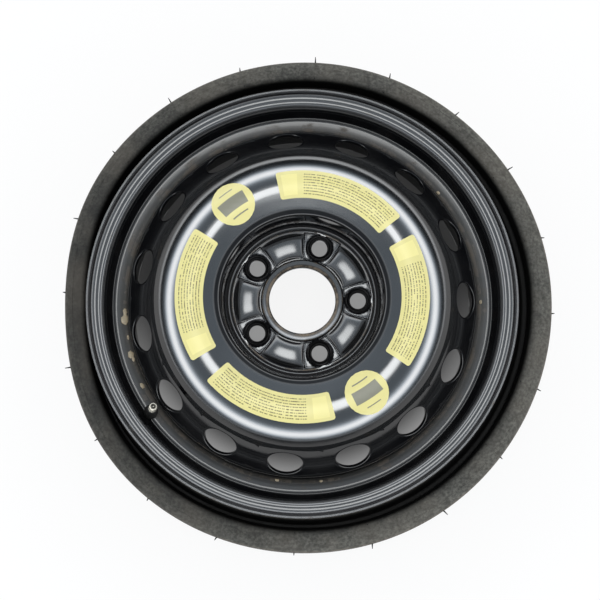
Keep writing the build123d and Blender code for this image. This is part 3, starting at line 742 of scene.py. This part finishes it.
def disc_points():
    """Points and faces of the pressed disc: hub land with its bolt seats, crown, vented slope and skirt."""
    points, normals = bent_path(DISC_PATH, DISC_BENDS, bend_step=3.0, bend_turn=0.13)
    slope_start, slope_end = np.array(DISC_PATH[-3]), np.array(DISC_PATH[-2])
    slope_run = unit(slope_end - slope_start)
    slope_normal = left_of(slope_run)
    bend = np.flatnonzero((np.abs(normals[:, 0]) < 1e-6) & (points[:, 0] < HUB_END + 1))[-1]
    stops = [DISC_PATH[0][0], *BOLTS["band"], points[bend][0]]
    runs = [np.linspace(low, high, round((high - low) / HUB_STEP) + 1)[:-1]
            for low, high in zip(stops, stops[1:])]
    land_r = np.concatenate([*runs, stops[-1:]])
    land = np.stack([land_r, np.full_like(land_r, DISC_SHEET)], -1)
    upright = np.tile([0.0, 1.0], (len(land), 1))
    inner, outer = (int(np.argmin(np.abs(land_r - edge))) for edge in BOLTS["band"])

    top, foot = (slope_start + slope_run * (radius - slope_start[0]) / slope_run[0]
                 for radius in (VENT["top"], VENT["foot"]))
    beyond = np.arange(len(points)) > bend
    upper = beyond & (points[:, 0] < VENT["top"] - 1)
    lower = beyond & (points[:, 0] > VENT["foot"] + 0.1)
    crown = (np.concatenate([land[outer:], points[upper], [top]]),
             np.concatenate([upright[outer:], normals[upper], [slope_normal]]))
    skirt = np.concatenate([[foot], points[lower]]), np.concatenate([[slope_normal], normals[lower]])
    around = np.arange(STEPS)
    patches = [polar_patch(land[:inner + 1], upright[:inner + 1], around), polar_patch(*crown, around),
               polar_patch(*skirt, around)]
    pitch = STEPS // BOLTS["count"]
    for index in range(BOLTS["count"]):
        pad = np.arange(BOLTS["spread"], pitch - BOLTS["spread"] + 1) + index * pitch
        patches.append(polar_patch(land[inner:outer + 1], upright[inner:outer + 1], pad))
        patches.append(bolt_patch(index, land_r[inner:outer + 1]))
    for index in range(VENT["count"]):
        patches.append(vent_sector(index, top, foot, slope_run, slope_normal))

    fronts, backs, quads = zip(*patches)
    starts = np.cumsum([0, *(len(side) for side in fronts)])
    faces = np.concatenate([patch + start for patch, start in zip(quads, starts)])
    front, back = np.concatenate(fronts), np.concatenate(backs)
    reach = np.hypot(front[:, 0], front[:, 1])
    near = reach < HUB_END + HUB_MARGIN
    rise, pocket = hub_heights(front[near, 0], front[near, 1])
    front[near, 2] += rise * np.clip((HUB_END + HUB_MARGIN - reach[near]) / HUB_FADE, 0, 1)
    back[near, 2] += pocket
    return sheet_shell(front, back, faces)


def polar_patch(points, normals, steps):
    """Front and back points and quads of section points turned over some of the wheel's steps."""
    angles = steps * 2 * math.pi / STEPS
    front, back = (revolved(section[:, :1], section[:, 1:], angles).reshape(-1, 3)
                   for section in (points, points - normals * DISC_SHEET))
    return front, back, grid_quads(len(points), len(angles), len(steps) == STEPS)


def bolt_patch(index, radii):
    """Front and back points and quads of the hub land round one bolt hole."""
    half = BOLTS["spread"]
    turn = np.concatenate([np.arange(-half, half), np.full(len(radii) - 1, half), np.arange(half, -half, -1),
                           np.full(len(radii) - 1, -half)]) * 2 * math.pi / STEPS
    reach = np.concatenate([np.full(2 * half, radii[0]), radii[:-1], np.full(2 * half, radii[-1]),
                            radii[:0:-1]])
    outline = np.stack([reach * np.cos(turn) - BOLTS["r"], reach * np.sin(turn)], -1)
    round_line = outline / np.linalg.norm(outline, axis=1)[:, None]
    rings = [outline + (round_line * BOLTS["patch"][0] - outline) * share for share in BOLTS["shares"]]
    rings += [round_line * radius for radius in BOLTS["patch"]]
    flat = np.concatenate(rings) + (BOLTS["r"], 0)
    angle = 2 * math.pi * index / BOLTS["count"]
    x = flat[:, 0] * math.cos(angle) - flat[:, 1] * math.sin(angle)
    y = flat[:, 0] * math.sin(angle) + flat[:, 1] * math.cos(angle)
    front = np.stack([x, y, np.full_like(x, DISC_SHEET)], -1)
    return front, front * (1, 1, 0), grid_quads(len(rings), len(outline), True)[:, ::-1]


def vent_sector(index, top, foot, slope_run, slope_normal):
    """Front and back points and quads of one share of the vented slope, with the rounded edge of its hole."""
    half_angle = math.pi / VENT["count"]
    side_steps, span_steps = VENT["side_steps"], STEPS // VENT["count"]
    length = np.linalg.norm(foot - top)
    middle = (VENT["r"] - top[0]) / slope_run[0]
    half_width, half_height = VENT["length"] / 2, VENT["height"] / 2
    span = np.linspace(-half_angle, half_angle, span_steps + 1)
    side = np.linspace(0, length, side_steps + 1)
    turn = np.concatenate([span[:-1], np.full(side_steps, half_angle), span[:0:-1],
                           np.full(side_steps, -half_angle)])
    down = np.concatenate([np.zeros(span_steps), side[:-1], np.full(span_steps, length), side[:0:-1]])
    radius = top[0] + down * slope_run[0]
    heading = np.arctan2(radius * np.sin(turn) / half_width, (down - middle) / half_height)
    ease = VENT["edge"] * VENT["ease"]
    rings = [(weight, VENT["edge"], 0.0) for weight in VENT["rings"]]
    rings += [(1.0, ease, ease), (1.0, 0.0, VENT["edge"])]
    centre = 2 * math.pi * index / VENT["count"]
    front, back = [], []
    for weight, grow, sink in rings:
        across = (half_width + grow) * np.sin(heading)
        hole_down = middle + (half_height + grow) * np.cos(heading)
        hole_turn = np.arctan2(across, top[0] + hole_down * slope_run[0])
        ring_turn = centre + turn + (hole_turn - turn) * weight
        ring_down = down + (hole_down - down) * weight
        for depth, points in ((sink, front), (DISC_SHEET - sink, back)):
            section = top + slope_run * ring_down[:, None] - slope_normal * depth
            points.append(revolved(section[:, 0], section[:, 1], ring_turn))
    return np.concatenate(front), np.concatenate(back), grid_quads(len(rings), len(turn), True)[:, ::-1]


def rim_section():
    """Closed section of the rolled rim band, with rounded lip edges."""
    outer, normals = bent_path(RIM_PATH, RIM_BENDS, run_step=9.0)
    inner = outer - normals * RIM_SHEET
    for side in (outer, inner):
        side[0, 1] -= LIP_EDGE
        side[-1, 1] += LIP_EDGE

    def edge(start, end, out):
        middle, half = (start + end) / 2, (end - start) / 2
        turns = np.radians(LIP_ANGLES)[:, None]
        return middle - half * np.cos(turns) + np.array([0, out * LIP_EDGE]) * np.sin(turns)

    rear, fore = edge(outer[-1], inner[-1], -1), edge(inner[0], outer[0], 1)
    return np.concatenate([outer, rear, inner[::-1], fore])


def tread_profile():
    """Front half of the tread from its edge to the middle, with round-edged grooves."""
    def crown(width):
        return TREAD["r"] - TREAD["crown"] * (width / TREAD["half"]) ** 2

    corners = [(crown(TREAD["half"]), TREAD["half"])]
    for place in TREAD["places"]:
        upper, lower = place + TREAD["groove"] / 2, place - TREAD["groove"] / 2
        corners += [(crown(upper), upper), (crown(upper) - TREAD["depth"], upper - TREAD["draft"]),
                    (crown(lower) - TREAD["depth"], lower + TREAD["draft"]), (crown(lower), lower)]
    corners.append((crown(0), 0))
    points, _ = bent_path(corners, [TREAD["bend"]] * (len(corners) - 2), run_step=15.0, bend_turn=0.8)
    return points


def tyre_section():
    """Closed section of the folded tyre about the rim's centre plane."""
    outer, _ = bent_path(TYRE_SKIN, SKIN_BENDS, run_step=6.0, bend_turn=0.19)
    slope = np.argmax((outer[:, 0] > MOULD_LINE_R) & (outer[:, 1] > TREAD["half"]))
    before, after = outer[slope - 1], outer[slope]
    run = unit(after - before)
    middle = before + (after - before) * (MOULD_LINE_R - before[0]) / (after[0] - before[0])
    line = [middle + run * along + left_of(run) * rise for along, rise in MOULD_LINE]
    outer = np.concatenate([outer[:slope], line, outer[slope:]])
    side = (outer[:, 1] > TREAD["half"] + TREAD["gap"]) | (outer[:, 0] < TREAD["r"] - TREAD["shoulder"])
    outer = np.concatenate([outer[side], tread_profile()])
    coarse, lefts = bent_path(TYRE_PATH, TYRE_BENDS, run_step=12.0, bend_turn=0.35)
    inner = np.concatenate([coarse - lefts * TYRE_WALL / 2, [(TREAD["r"] - TREAD["crown"] - TYRE_WALL, 0)]])
    flip = np.array([1, -1])
    section = np.concatenate([outer, (outer * flip)[-2::-1], inner * flip, inner[-2::-1]])
    return section + np.array([0, RIM_MIDDLE])


def lie_of_tyre(shape):
    """Function that moves points of the tyre off the axis and presses its fold in at one side."""
    swellings = [(-shape.dent / MM, math.degrees(shape.dent_angle), DENT_SPREAD), *SWELLINGS]

    def move(points):
        radius = np.hypot(points[..., 0], points[..., 1])
        angle = np.degrees(np.arctan2(points[..., 1], points[..., 0]))
        free = np.clip((radius - FREE_R) / FREE_RUN, 0, 1)
        free = free * free * (3 - 2 * free)
        push = RIPPLE * np.sin(np.radians(angle * RIPPLE_WAVES + RIPPLE_START))
        for height, place, spread in swellings:
            off = (angle - place + 180) % 360 - 180
            push += height * np.exp(-(off / spread) ** 2 / 2)
        moved = points.copy()
        moved[..., 0] += free * (push * points[..., 0] / radius + shape.shift / MM)
        moved[..., 1] += free * push * points[..., 1] / radius
        return moved
    return move


def hair_tree():
    """Tapered rubber hairs on points, along each point's direction and of its length."""
    tree, given, out = geometry_tree("Moulding hairs", {"Thickness": 0.0009})
    root = math_node(tree, "MULTIPLY", given["Thickness"], 0.5)
    tip = math_node(tree, "MULTIPLY", given["Thickness"], 0.22)
    hair = add_node(tree, "GeometryNodeMeshCone", {
        "Vertices": 7, "Side Segments": 3, "Radius Top": tip, "Radius Bottom": root, "Depth": 1.0})
    lean = add_node(tree, "GeometryNodeInputNamedAttribute", {"Name": "lean"}, data_type="FLOAT_VECTOR")
    reach = add_node(tree, "GeometryNodeInputNamedAttribute", {"Name": "reach"}, data_type="FLOAT")
    grown = add_node(tree, "GeometryNodeInstanceOnPoints", {
        "Points": given["Geometry"], "Instance": hair,
        "Rotation": add_node(tree, "FunctionNodeAlignRotationToVector", {"Vector": lean}, axis="Z"),
        "Scale": add_node(tree, "ShaderNodeCombineXYZ", {0: 1.0, 1: 1.0, 2: reach})})
    end_tree(tree, grown, given, out)
    return tree


def hair_roots(shape, move):
    """Mesh of the hairs' roots, with the direction and length of each."""
    places, leans, reaches = [], [], []
    pick = np.random.default_rng(11)
    up = np.array([0, 0, 1.0])
    for index in range(shape.hair_count):
        angle = math.radians(index * 360 / shape.hair_count + HAIR_START)
        out = np.array([math.cos(angle), math.sin(angle), 0])
        reaches += [shape.hair_length * pick.uniform(0.45, 1.0), STUB_LENGTH * pick.uniform(0.6, 1.2)]
        for radius, height, outward, upward in HAIR_RINGS:
            swing = np.array([-out[1], out[0], 0]) * pick.uniform(-HAIR_SWING, HAIR_SWING)
            places.append(move((out * radius + up * (height + RIM_MIDDLE))[None])[0] * MM)
            leans.append(unit(out * outward + up * upward + swing))
    mesh = bpy.data.meshes.new("hair_roots")
    mesh.from_pydata([tuple(place) for place in places], [], [])
    mesh.attributes.new("lean", "FLOAT_VECTOR", "POINT").data.foreach_set("vector", np.array(leans).ravel())
    mesh.attributes.new("reach", "FLOAT", "POINT").data.foreach_set("value", reaches)
    return mesh


def wrap_on_film(tree, geometry, given):
    """Flat print, drawn along the arc and across it, laid on a film label just above its surface."""
    position = add_node(tree, "GeometryNodeInputPosition")
    place = add_node(tree, "ShaderNodeSeparateXYZ", {0: position}).node.outputs
    turn = math_node(tree, "ADD", math_node(tree, "DIVIDE", place[0], given["Radius"]), given["Angle"])
    reach = math_node(tree, "ADD", place[1], given["Radius"])
    x = math_node(tree, "MULTIPLY", math_node(tree, "COSINE", turn), reach)
    y = math_node(tree, "MULTIPLY", math_node(tree, "SINE", turn), reach)
    ray = add_node(tree, "GeometryNodeRaycast", {
        "Target Geometry": add_node(tree, "GeometryNodeObjectInfo", {"Object": given["Film"]}, "Geometry"),
        "Source Position": add_node(tree, "ShaderNodeCombineXYZ", {0: x, 1: y, 2: 0.1}),
        "Ray Direction": (0, 0, -1), "Ray Length": 0.2}).node.outputs
    raised = add_node(tree, "ShaderNodeVectorMath", {
        0: ray["Hit Normal"], "Scale": given["Lift"]}, operation="SCALE")
    laid = vector_node(tree, "ADD", ray["Hit Position"], raised)
    return add_node(tree, "GeometryNodeSetPosition", {"Geometry": geometry, "Position": laid})


def print_rows_tree():
    """Rows of short strokes of mixed lengths along a film label."""
    tree, given, out = geometry_tree("Print rows", {
        **LAID, "Rows": 8, "Columns": 24, "Length": 0.1, "Width": 0.02, "Stroke": 0.0012, "Seed": 4})
    grid = add_node(tree, "GeometryNodeMeshGrid", {
        "Size X": given["Length"], "Size Y": given["Width"], "Vertices X": given["Columns"],
        "Vertices Y": given["Rows"]})
    pitch = math_node(tree, "DIVIDE", given["Length"], given["Columns"])
    share = add_node(tree, "FunctionNodeRandomValue", {
        2: 0.35, 3: 0.95, "Seed": given["Seed"]}, 1, data_type="FLOAT")
    jog = add_node(tree, "FunctionNodeRandomValue", {2: -0.3, 3: 0.3}, 1, data_type="FLOAT")
    slide = add_node(tree, "ShaderNodeCombineXYZ", {0: math_node(tree, "MULTIPLY", pitch, jog)})
    run = math_node(tree, "MULTIPLY", pitch, share)
    strokes = add_node(tree, "GeometryNodeInstanceOnPoints", {
        "Points": add_node(tree, "GeometryNodeSetPosition", {"Geometry": grid, "Offset": slide}),
        "Selection": add_node(tree, "FunctionNodeRandomValue", {"Probability": 0.93}, 3, data_type="BOOLEAN"),
        "Instance": add_node(tree, "GeometryNodeMeshGrid", {
            "Size X": 1.0, "Size Y": 1.0, "Vertices X": 4, "Vertices Y": 2}),
        "Scale": add_node(tree, "ShaderNodeCombineXYZ", {0: run, 1: given["Stroke"], 2: 1.0})})
    real = add_node(tree, "GeometryNodeRealizeInstances", {0: strokes})
    end_tree(tree, wrap_on_film(tree, real, given), given, out)
    return tree


def print_shapes_tree():
    """Flat shapes laid on a film label."""
    tree, given, out = geometry_tree("Print shapes", LAID)
    end_tree(tree, wrap_on_film(tree, given["Geometry"], given), given, out)
    return tree


def spiral_tree():
    """Spiral wire about an axis, for a screw thread's ridge or a coil spring."""
    tree, given, out = geometry_tree("Spiral wire", {
        "Radius": 0.0037, "Length": 0.01, "Turns": 12.0, "Ridge": 0.0003, "Sides": 4, "Place": "Vector",
        "Turn": "Rotation"})
    spiral = add_node(tree, "GeometryNodeCurveSpiral", {
        "Resolution": 32, "Rotations": given["Turns"], "Start Radius": given["Radius"],
        "End Radius": given["Radius"], "Height": given["Length"]})
    ridge = add_node(tree, "GeometryNodeCurvePrimitiveCircle", {
        "Resolution": given["Sides"], "Radius": given["Ridge"]})
    wire = add_node(tree, "GeometryNodeCurveToMesh", {
        "Curve": spiral, "Profile Curve": ridge, "Fill Caps": True})
    placed = add_node(tree, "GeometryNodeTransform", {
        "Geometry": wire, "Translation": given["Place"], "Rotation": given["Turn"]})
    end_tree(tree, placed, given, out)
    return tree


def flat_mesh(name, fields):
    """Flat mesh of several fields, each with its centre, width, height and cells, in millimetres."""
    points, faces = [], []
    for (x, y), width, height, (columns, rows) in fields:
        across = x + np.linspace(-width / 2, width / 2, columns + 1)
        upward = y + np.linspace(-height / 2, height / 2, rows + 1)
        faces += (grid_quads(rows + 1, columns + 1)[:, TURNED_OVER] + len(points)).tolist()
        points += [(right * MM, up * MM, 0) for up in upward for right in across]
    mesh = bpy.data.meshes.new(name)
    mesh.from_pydata(points, [], faces)
    return mesh


def film_rows(half_width, half_height, corner):
    """Points and faces of a flat field with round corners, in millimetres, in rows along it."""
    turns = np.radians(np.linspace(0, 90, 7))
    ends = half_height - corner + corner * np.sin(turns[1:])
    heights = np.concatenate([-ends[::-1], np.linspace(corner - half_height, half_height - corner, 13), ends])
    over = np.clip(np.abs(heights) - (half_height - corner), 0, corner)
    halves = half_width - corner + np.sqrt(corner**2 - over**2)
    across = np.linspace(-1, 1, 49)
    points = np.stack([halves[:, None] * across, np.repeat(heights[:, None], len(across), 1)], -1)
    return points.reshape(-1, 2), grid_quads(len(heights), len(across))


def film_points(places, faces):
    """Points and faces of a film that lies on the disc's crown, from its places in plan, in millimetres."""
    section, normals = bent_path(DISC_PATH, DISC_BENDS, run_step=1.0, bend_step=0.6)
    crown = section[:, 1] > DISC_PATH[2][1]
    reach = np.hypot(places[:, 0], places[:, 1])
    height, lean, rise = (np.interp(reach, section[crown, 0], values[crown])
                          for values in (section[:, 1], *normals.T))
    surface = np.column_stack([places, height])
    normal = np.column_stack([places * (lean / reach)[:, None], rise])
    return sheet_shell(surface + normal * (FILM_GAP + FILM_SHEET), surface + normal * FILM_GAP, faces)


class WHEEL_OT_rim(bpy.types.Operator):
    """Rolls the rim band with its lips, ledge and well"""
    bl_idname = "spare_wheel.rim"
    bl_label = "Rim band"

    def execute(self, context):
        paint = paint_material("Rim paint", context.scene.wheel_paint, RIM_RINGS, PAINT_COAT)
        rim = make_piece("rim_band", *turned_points(rim_section()), paint, "black_paint")
        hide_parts("rim")
        return {"FINISHED"}


class WHEEL_OT_disc(bpy.types.Operator):
    """Presses the wheel disc with its hub land, crown, vents and skirt"""
    bl_idname = "spare_wheel.disc"
    bl_label = "Wheel disc"

    def execute(self, context):
        finish = context.scene.wheel_paint
        paint = paint_material("Disc paint", finish, DISC_RINGS, PAINT_COAT)
        disc = make_piece("pressed_disc", *disc_points(), paint, "black_paint", sharp=DISC_SHARP)
        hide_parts("wheel_disc")
        dress_node("disc_welds", paint_material("Weld paint", finish, WELD_RINGS, 1.0))
        return {"FINISHED"}


class WHEEL_OT_tyre(bpy.types.Operator):
    """Turns the folded tyre and grows its moulding hairs"""
    bl_idname = "spare_wheel.tyre"
    bl_label = "Tyre"

    def execute(self, context):
        shape = context.scene.wheel_tyre
        move = lie_of_tyre(shape)
        section = tyre_section()
        rubber = rubber_material("Tyre rubber", shape.rubber, shape.dirt, dust=0.75, folded=True)
        tyre = make_piece("folded_tyre", *turned_points(section, move), rubber, "tyre_rubber")
        # Painted shade of the fold: 'shown' is 0 inside the fold and 1 on its open side.
        out_of_fold_shade = np.clip((np.abs(section[:, 1] - RIM_MIDDLE) - FOLD_EDGE) / FOLD_FADE, 0, 1)
        shown = np.where(section[:, 0] < FOLD_R, out_of_fold_shade, 1.0)
        tyre.data.attributes.new("shown", "FLOAT", "POINT").data.foreach_set("value", np.tile(shown, STEPS))
        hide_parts("tyre")
        # The hairs carry no 'shown' attribute, so the fold's painted shade darkens them too and they take no
        # dirt.
        grown_piece("moulding_hairs", hair_tree(), {"Thickness": shape.hair_thickness}, rubber,
                    hair_roots(shape, move))
        return {"FINISHED"}


class WHEEL_OT_valve(bpy.types.Operator):
    """Finishes the valve's rubber, stem and core, cuts the stem's thread and winds the core's spring"""
    bl_idname = "spare_wheel.valve"
    bl_label = "Valve"

    def execute(self, context):
        finish = context.scene.wheel_valve
        dirt = context.scene.wheel_tyre.dirt
        brass = metal_material("Valve brass", finish.brass, 0.4)
        rubber = rubber_material("Valve rubber", finish.rubber, dirt, dust=0.35, roughness=0.5)
        for name in ("valve_stem", "core_barrel", "core_pin"):
            dress_node(name, brass)
        dress_node("core_plug", metal_material("Core brass", [c * 0.14 for c in finish.brass], 0.5))
        dress_node("valve_body", rubber)
        dress_node("core_cup", rubber)
        dress_node("core_gasket", film_material("Core seal", CORE_SEAL, dust=0.1))
        direction = Vector(VALVE_DIRECTION).normalized()
        turn, spiral = direction.to_track_quat("Z", "Y").to_euler(), spiral_tree()
        length = (THREAD_END - THREAD_START) * MM
        grown_piece("stem_thread", spiral, {
            "Radius": THREAD_R * MM, "Length": length, "Turns": length / finish.pitch,
            "Ridge": finish.pitch * THREAD_RIDGE, "Turn": turn,
            "Place": (Vector(VALVE_SEAT) + direction * THREAD_START) * MM}, brass)
        foot = (Vector(VALVE_SEAT) + direction * SPRING_FOOT) * MM
        coil = grown_piece("core_coil", spiral, {
            "Radius": SPRING_R * MM, "Length": SPRING_LENGTH * MM, "Turns": SPRING_TURNS,
            "Ridge": SPRING_WIRE_R * MM, "Sides": 8, "Turn": turn, "Place": foot},
            metal_material("Spring wire", SPRING_STEEL, 0.25))
        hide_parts("core_spring")
        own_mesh(coil)
        return {"FINISHED"}


class WHEEL_OT_labels(bpy.types.Operator):
    """Lays the film labels on the crown, and their plain print on them"""
    bl_idname = "spare_wheel.labels"
    bl_label = "Film labels"

    def execute(self, context):
        look = context.scene.wheel_labels
        film = film_material("Yellow film", look.film)
        ink = film_material("Label ink", look.ink, dust=0.2)
        row_ink = film_material("Row ink", look.row_ink, dust=0.2)
        pale = film_material("Pale field", [c * 1.12 for c in look.film])
        rows, shapes = print_rows_tree(), print_shapes_tree()
        span = ARC_MIDDLE_R * math.radians(ARC_SPAN)
        flat, quads = film_rows(span / 2, ARC_WIDTH / 2, ARC_CORNER)
        for index, (name, angle) in enumerate(ARC_LABELS.items()):
            turn, reach = math.radians(angle) + flat[:, 0] / ARC_MIDDLE_R, ARC_MIDDLE_R + flat[:, 1]
            places = np.stack([reach * np.cos(turn), reach * np.sin(turn)], -1)
            common = {"Film": self.lay_film(name, places, quads, film), "Radius": ARC_MIDDLE_R * MM}
            grown_piece(name + "_print", rows, {
                **common, "Angle": math.radians(angle + ARC_SPAN * ROWS["off"]), "Rows": look.rows,
                "Columns": ROWS["columns"], "Length": span * MM * ROWS["share"], "Width": ROWS["width"],
                "Stroke": look.stroke, "Seed": look.seed + index}, row_ink)
            field = ((0, 0), span * FIELD["share"], FIELD["height"], FIELD["cells"])
            grown_piece(name + "_field", shapes, {
                **common, "Angle": math.radians(angle + ARC_SPAN * FIELD["off"]), "Lift": FIELD["lift"]},
                pale, flat_mesh(name + "_field", [field]))
        flat, quads = film_rows(ROUND_D / 2, ROUND_D / 2, ROUND_D / 2 - 0.01)
        for name, angle in ROUND_LABELS.items():
            turn = math.radians(angle)
            places = flat + ROUND_MIDDLE_R * np.array([math.cos(turn), math.sin(turn)])
            sheet = self.lay_film(name, places, quads, film)
            grown_piece(name + "_print", shapes, {
                "Film": sheet, "Radius": ROUND_MIDDLE_R * MM, "Angle": turn},
                ink, flat_mesh(name + "_print", BARS))
        return {"FINISHED"}

    def lay_film(self, name, places, quads, film):
        """Film label on the crown in place of its plain node."""
        sheet = make_piece(name + "_film", *film_points(places, quads), film, "yellow_film")
        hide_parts(name)
        return sheet


class WHEEL_OT_grime(bpy.types.Operator):
    """Lays dried flakes of residue along the seam of disc and rim"""
    bl_idname = "spare_wheel.grime"
    bl_label = "Seam residue"

    def execute(self, context):
        pick = np.random.default_rng(5)
        points, faces = [], []
        corners = np.arange(FLAKE_CORNERS)
        around = (2 * math.pi * corners / FLAKE_CORNERS)[:, None]
        quads = grid_quads(len(FLAKE_LEVELS), FLAKE_CORNERS, True)[:, TURNED_OVER]
        top = (len(FLAKE_LEVELS) - 1) * FLAKE_CORNERS
        for angle, radius, across, along in FLAKES:
            first, turn = len(points), math.radians(angle)
            out = np.array([math.cos(turn), math.sin(turn), 0])
            side = np.array([-math.sin(turn), math.cos(turn), 0])
            centre = out * radius + (0, 0, LEDGE_Z + (radius - LEDGE_R) * math.tan(LEDGE_SLOPE))
            tilt = out * math.cos(LEDGE_SLOPE) + (0, 0, math.sin(LEDGE_SLOPE))
            spread = (tilt * np.cos(around) * across + side * np.sin(around) * along) * FLAKE_SPREAD
            for lift, share in FLAKE_LEVELS:
                sizes = pick.uniform(0.72, 1.1, FLAKE_CORNERS)[:, None]
                points += list((centre + spread * sizes * share + (0, 0, lift)) * MM)
            faces += [*(first + quads), first + top + corners, first + corners[::-1]]
        residue = film_material("Dried residue", context.scene.wheel_grime.residue, dust=0.6)
        make_piece("seam_residue", points, faces, residue, "black_paint")
        return {"FINISHED"}


class WHEEL_OT_stage(bpy.types.Operator):
    """Sets the floor, the studio light and the camera"""
    bl_idname = "spare_wheel.stage"
    bl_label = "Stage"

    def execute(self, context):
        stage = context.scene.wheel_stage
        self.lay_floor(context.scene, stage)
        self.light(context.scene, stage)
        camera = bpy.data.cameras.new("camera")
        camera.sensor_width = SENSOR
        camera.lens = stage.lens
        camera.shift_x, camera.shift_y = CAMERA_SHIFT
        holder = bpy.data.objects.new("camera", camera)
        holder.location = (0, -stage.distance * math.sin(stage.tilt), stage.distance * math.cos(stage.tilt))
        holder.rotation_euler = (stage.tilt, 0, 0)
        context.scene.collection.objects.link(holder)
        context.scene.camera = holder
        context.scene.view_settings.view_transform = "Standard"
        return {"FINISHED"}

    def lay_floor(self, scene, stage):
        """Pale floor that shows white outside the wheel, with painted shade under the wheel and painted light
        where the bore, bolt holes and vents show it.
        """
        mesh = bpy.data.meshes.new("floor")
        mesh.from_pydata([(x * FLOOR_HALF, y * FLOOR_HALF, CAD_BOX[0][2])
                          for x, y in ((-1, -1), (1, -1), (1, 1), (-1, 1))], [], [(0, 1, 2, 3)])
        floor = bpy.data.objects.new("floor", mesh)
        scene.collection.objects.link(floor)
        material = bpy.data.materials.new("Pale floor")
        material.use_nodes = True
        tree = material.node_tree
        tree.nodes.clear()
        path = tree.nodes.new("ShaderNodeLightPath").outputs
        seen = math_node(tree, "ADD", path["Is Camera Ray"], path["Is Glossy Ray"], clamp=True)
        seen = math_node(tree, "ADD", seen, path["Is Transmission Ray"], clamp=True)
        place = tree.nodes.new("ShaderNodeTexCoord").outputs["Object"]
        # Painted light and shade by place: dark under the wheel, white outside it, dim light under the hub, a
        # white pool under the bore, and light under the vents that grows outwards and towards -Y.
        reach, bore = axis_distance(tree, place), axis_distance(tree, place, BORE_LIGHT_CENTRE)
        side = add_node(tree, "ShaderNodeSeparateXYZ", {0: place}, "Y")
        painted_vent_light = math_node(tree, "MULTIPLY", ramp_node(tree, side, *FLOOR_PAINTED_LIGHT["side"]),
                          ramp_node(tree, reach, *FLOOR_PAINTED_LIGHT["vents"]))
        level = chained(tree, "MAXIMUM", painted_vent_light, ramp_node(tree, reach, *FLOOR_PAINTED_LIGHT["outside"]),
                        ramp_node(tree, bore, *FLOOR_PAINTED_LIGHT["hub"]), ramp_node(tree, bore, *FLOOR_PAINTED_LIGHT["bore"]))
        mixed = add_node(tree, "ShaderNodeMixShader", {
            0: math_node(tree, "MULTIPLY", seen, FLOOR_SHARE),
            1: add_node(tree, "ShaderNodeBsdfDiffuse", {"Color": colour(stage.floor)}),
            2: add_node(tree, "ShaderNodeEmission", {"Color": WHITE, "Strength": level})})
        set_inputs(tree, tree.nodes.new("ShaderNodeOutputMaterial"), {"Surface": mixed})
        mesh.materials.append(material)

    def light(self, scene, stage):
        """Soft dome: a softbox overhead and a bright ring at mid height, dark at the horizon."""
        world = bpy.data.worlds.new("Studio")
        world.use_nodes = True
        scene.world = world
        tree = world.node_tree
        tree.nodes.clear()
        direction = tree.nodes.new("ShaderNodeTexCoord").outputs["Generated"]
        axis = (0, -math.sin(stage.tilt), math.cos(stage.tilt))
        ramp = tree.nodes.new("ShaderNodeValToRGB")
        set_inputs(tree, ramp, {0: vector_node(tree, "DOT_PRODUCT", direction, axis, output="Value")})
        for position, _ in DOME_STOPS[1:-1]:
            ramp.color_ramp.elements.new(position)
        strongest = max(value for _, value in DOME_STOPS)
        for element, (_, value) in zip(ramp.color_ramp.elements, DOME_STOPS):
            share = value / strongest
            cool = DOME_COOL * (1 - share)
            element.color = (share * (1 - cool), share, share * (1 + cool), 1)
        ring = add_node(tree, "ShaderNodeBackground", {
            "Color": ramp.outputs[0], "Strength": strongest * stage.level})
        upward = add_node(tree, "ShaderNodeSeparateXYZ", {0: direction}, "Z")
        strength = SOFTBOX["level"] * stage.level
        overhead = ramp_node(tree, upward, SOFTBOX["from"], SOFTBOX["to"], 0.0, strength)
        softbox = add_node(tree, "ShaderNodeBackground", {"Color": SOFTBOX["colour"], "Strength": overhead})
        mixed = add_node(tree, "ShaderNodeMixShader", {
            0: tree.nodes.new("ShaderNodeLightPath").outputs["Is Camera Ray"],
            1: add_node(tree, "ShaderNodeAddShader", {0: ring, 1: softbox}),
            2: add_node(tree, "ShaderNodeBackground", {"Color": WHITE, "Strength": 1.0})})
        set_inputs(tree, tree.nodes.new("ShaderNodeOutputWorld"), {"Surface": mixed})


class WHEEL_PT_sidebar(bpy.types.Panel):
    """Pieces of the spare wheel and their settings"""
    bl_idname = "WHEEL_PT_sidebar"
    bl_label = "Spare Wheel"
    bl_space_type = "VIEW_3D"
    bl_region_type = "UI"
    bl_category = "Spare Wheel"

    def draw(self, context):
        for operator, settings in STEPS_IN_ORDER:
            box = self.layout.box()
            box.operator(operator.bl_idname)
            group = getattr(context.scene, settings)
            for name in group.bl_rna.properties.keys():
                if name not in ("rna_type", "name"):
                    box.prop(group, name)


SETTINGS = {"wheel_paint": PaintFinish, "wheel_tyre": TyreShape, "wheel_valve": ValveFinish,
            "wheel_labels": LabelPrint, "wheel_grime": SeamGrime, "wheel_stage": StudioStage}
STEPS_IN_ORDER = [(WHEEL_OT_rim, "wheel_paint"), (WHEEL_OT_disc, "wheel_paint"),
                  (WHEEL_OT_tyre, "wheel_tyre"), (WHEEL_OT_valve, "wheel_valve"),
                  (WHEEL_OT_labels, "wheel_labels"), (WHEEL_OT_grime, "wheel_grime"),
                  (WHEEL_OT_stage, "wheel_stage")]
CLASSES = [*SETTINGS.values(), *(operator for operator, _ in STEPS_IN_ORDER), WHEEL_PT_sidebar]


def register():
    for cls in CLASSES:
        bpy.utils.register_class(cls)
    for name, group in SETTINGS.items():
        setattr(bpy.types.Scene, name, PointerProperty(type=group))


def unregister():
    for name in SETTINGS:
        delattr(bpy.types.Scene, name)
    for cls in reversed(CLASSES):
        bpy.utils.unregister_class(cls)


def main():
    register()
    for operator, _ in STEPS_IN_ORDER:
        category, name = operator.bl_idname.split(".")
        getattr(getattr(bpy.ops, category), name)()


if __name__ == "__main__":
    main()
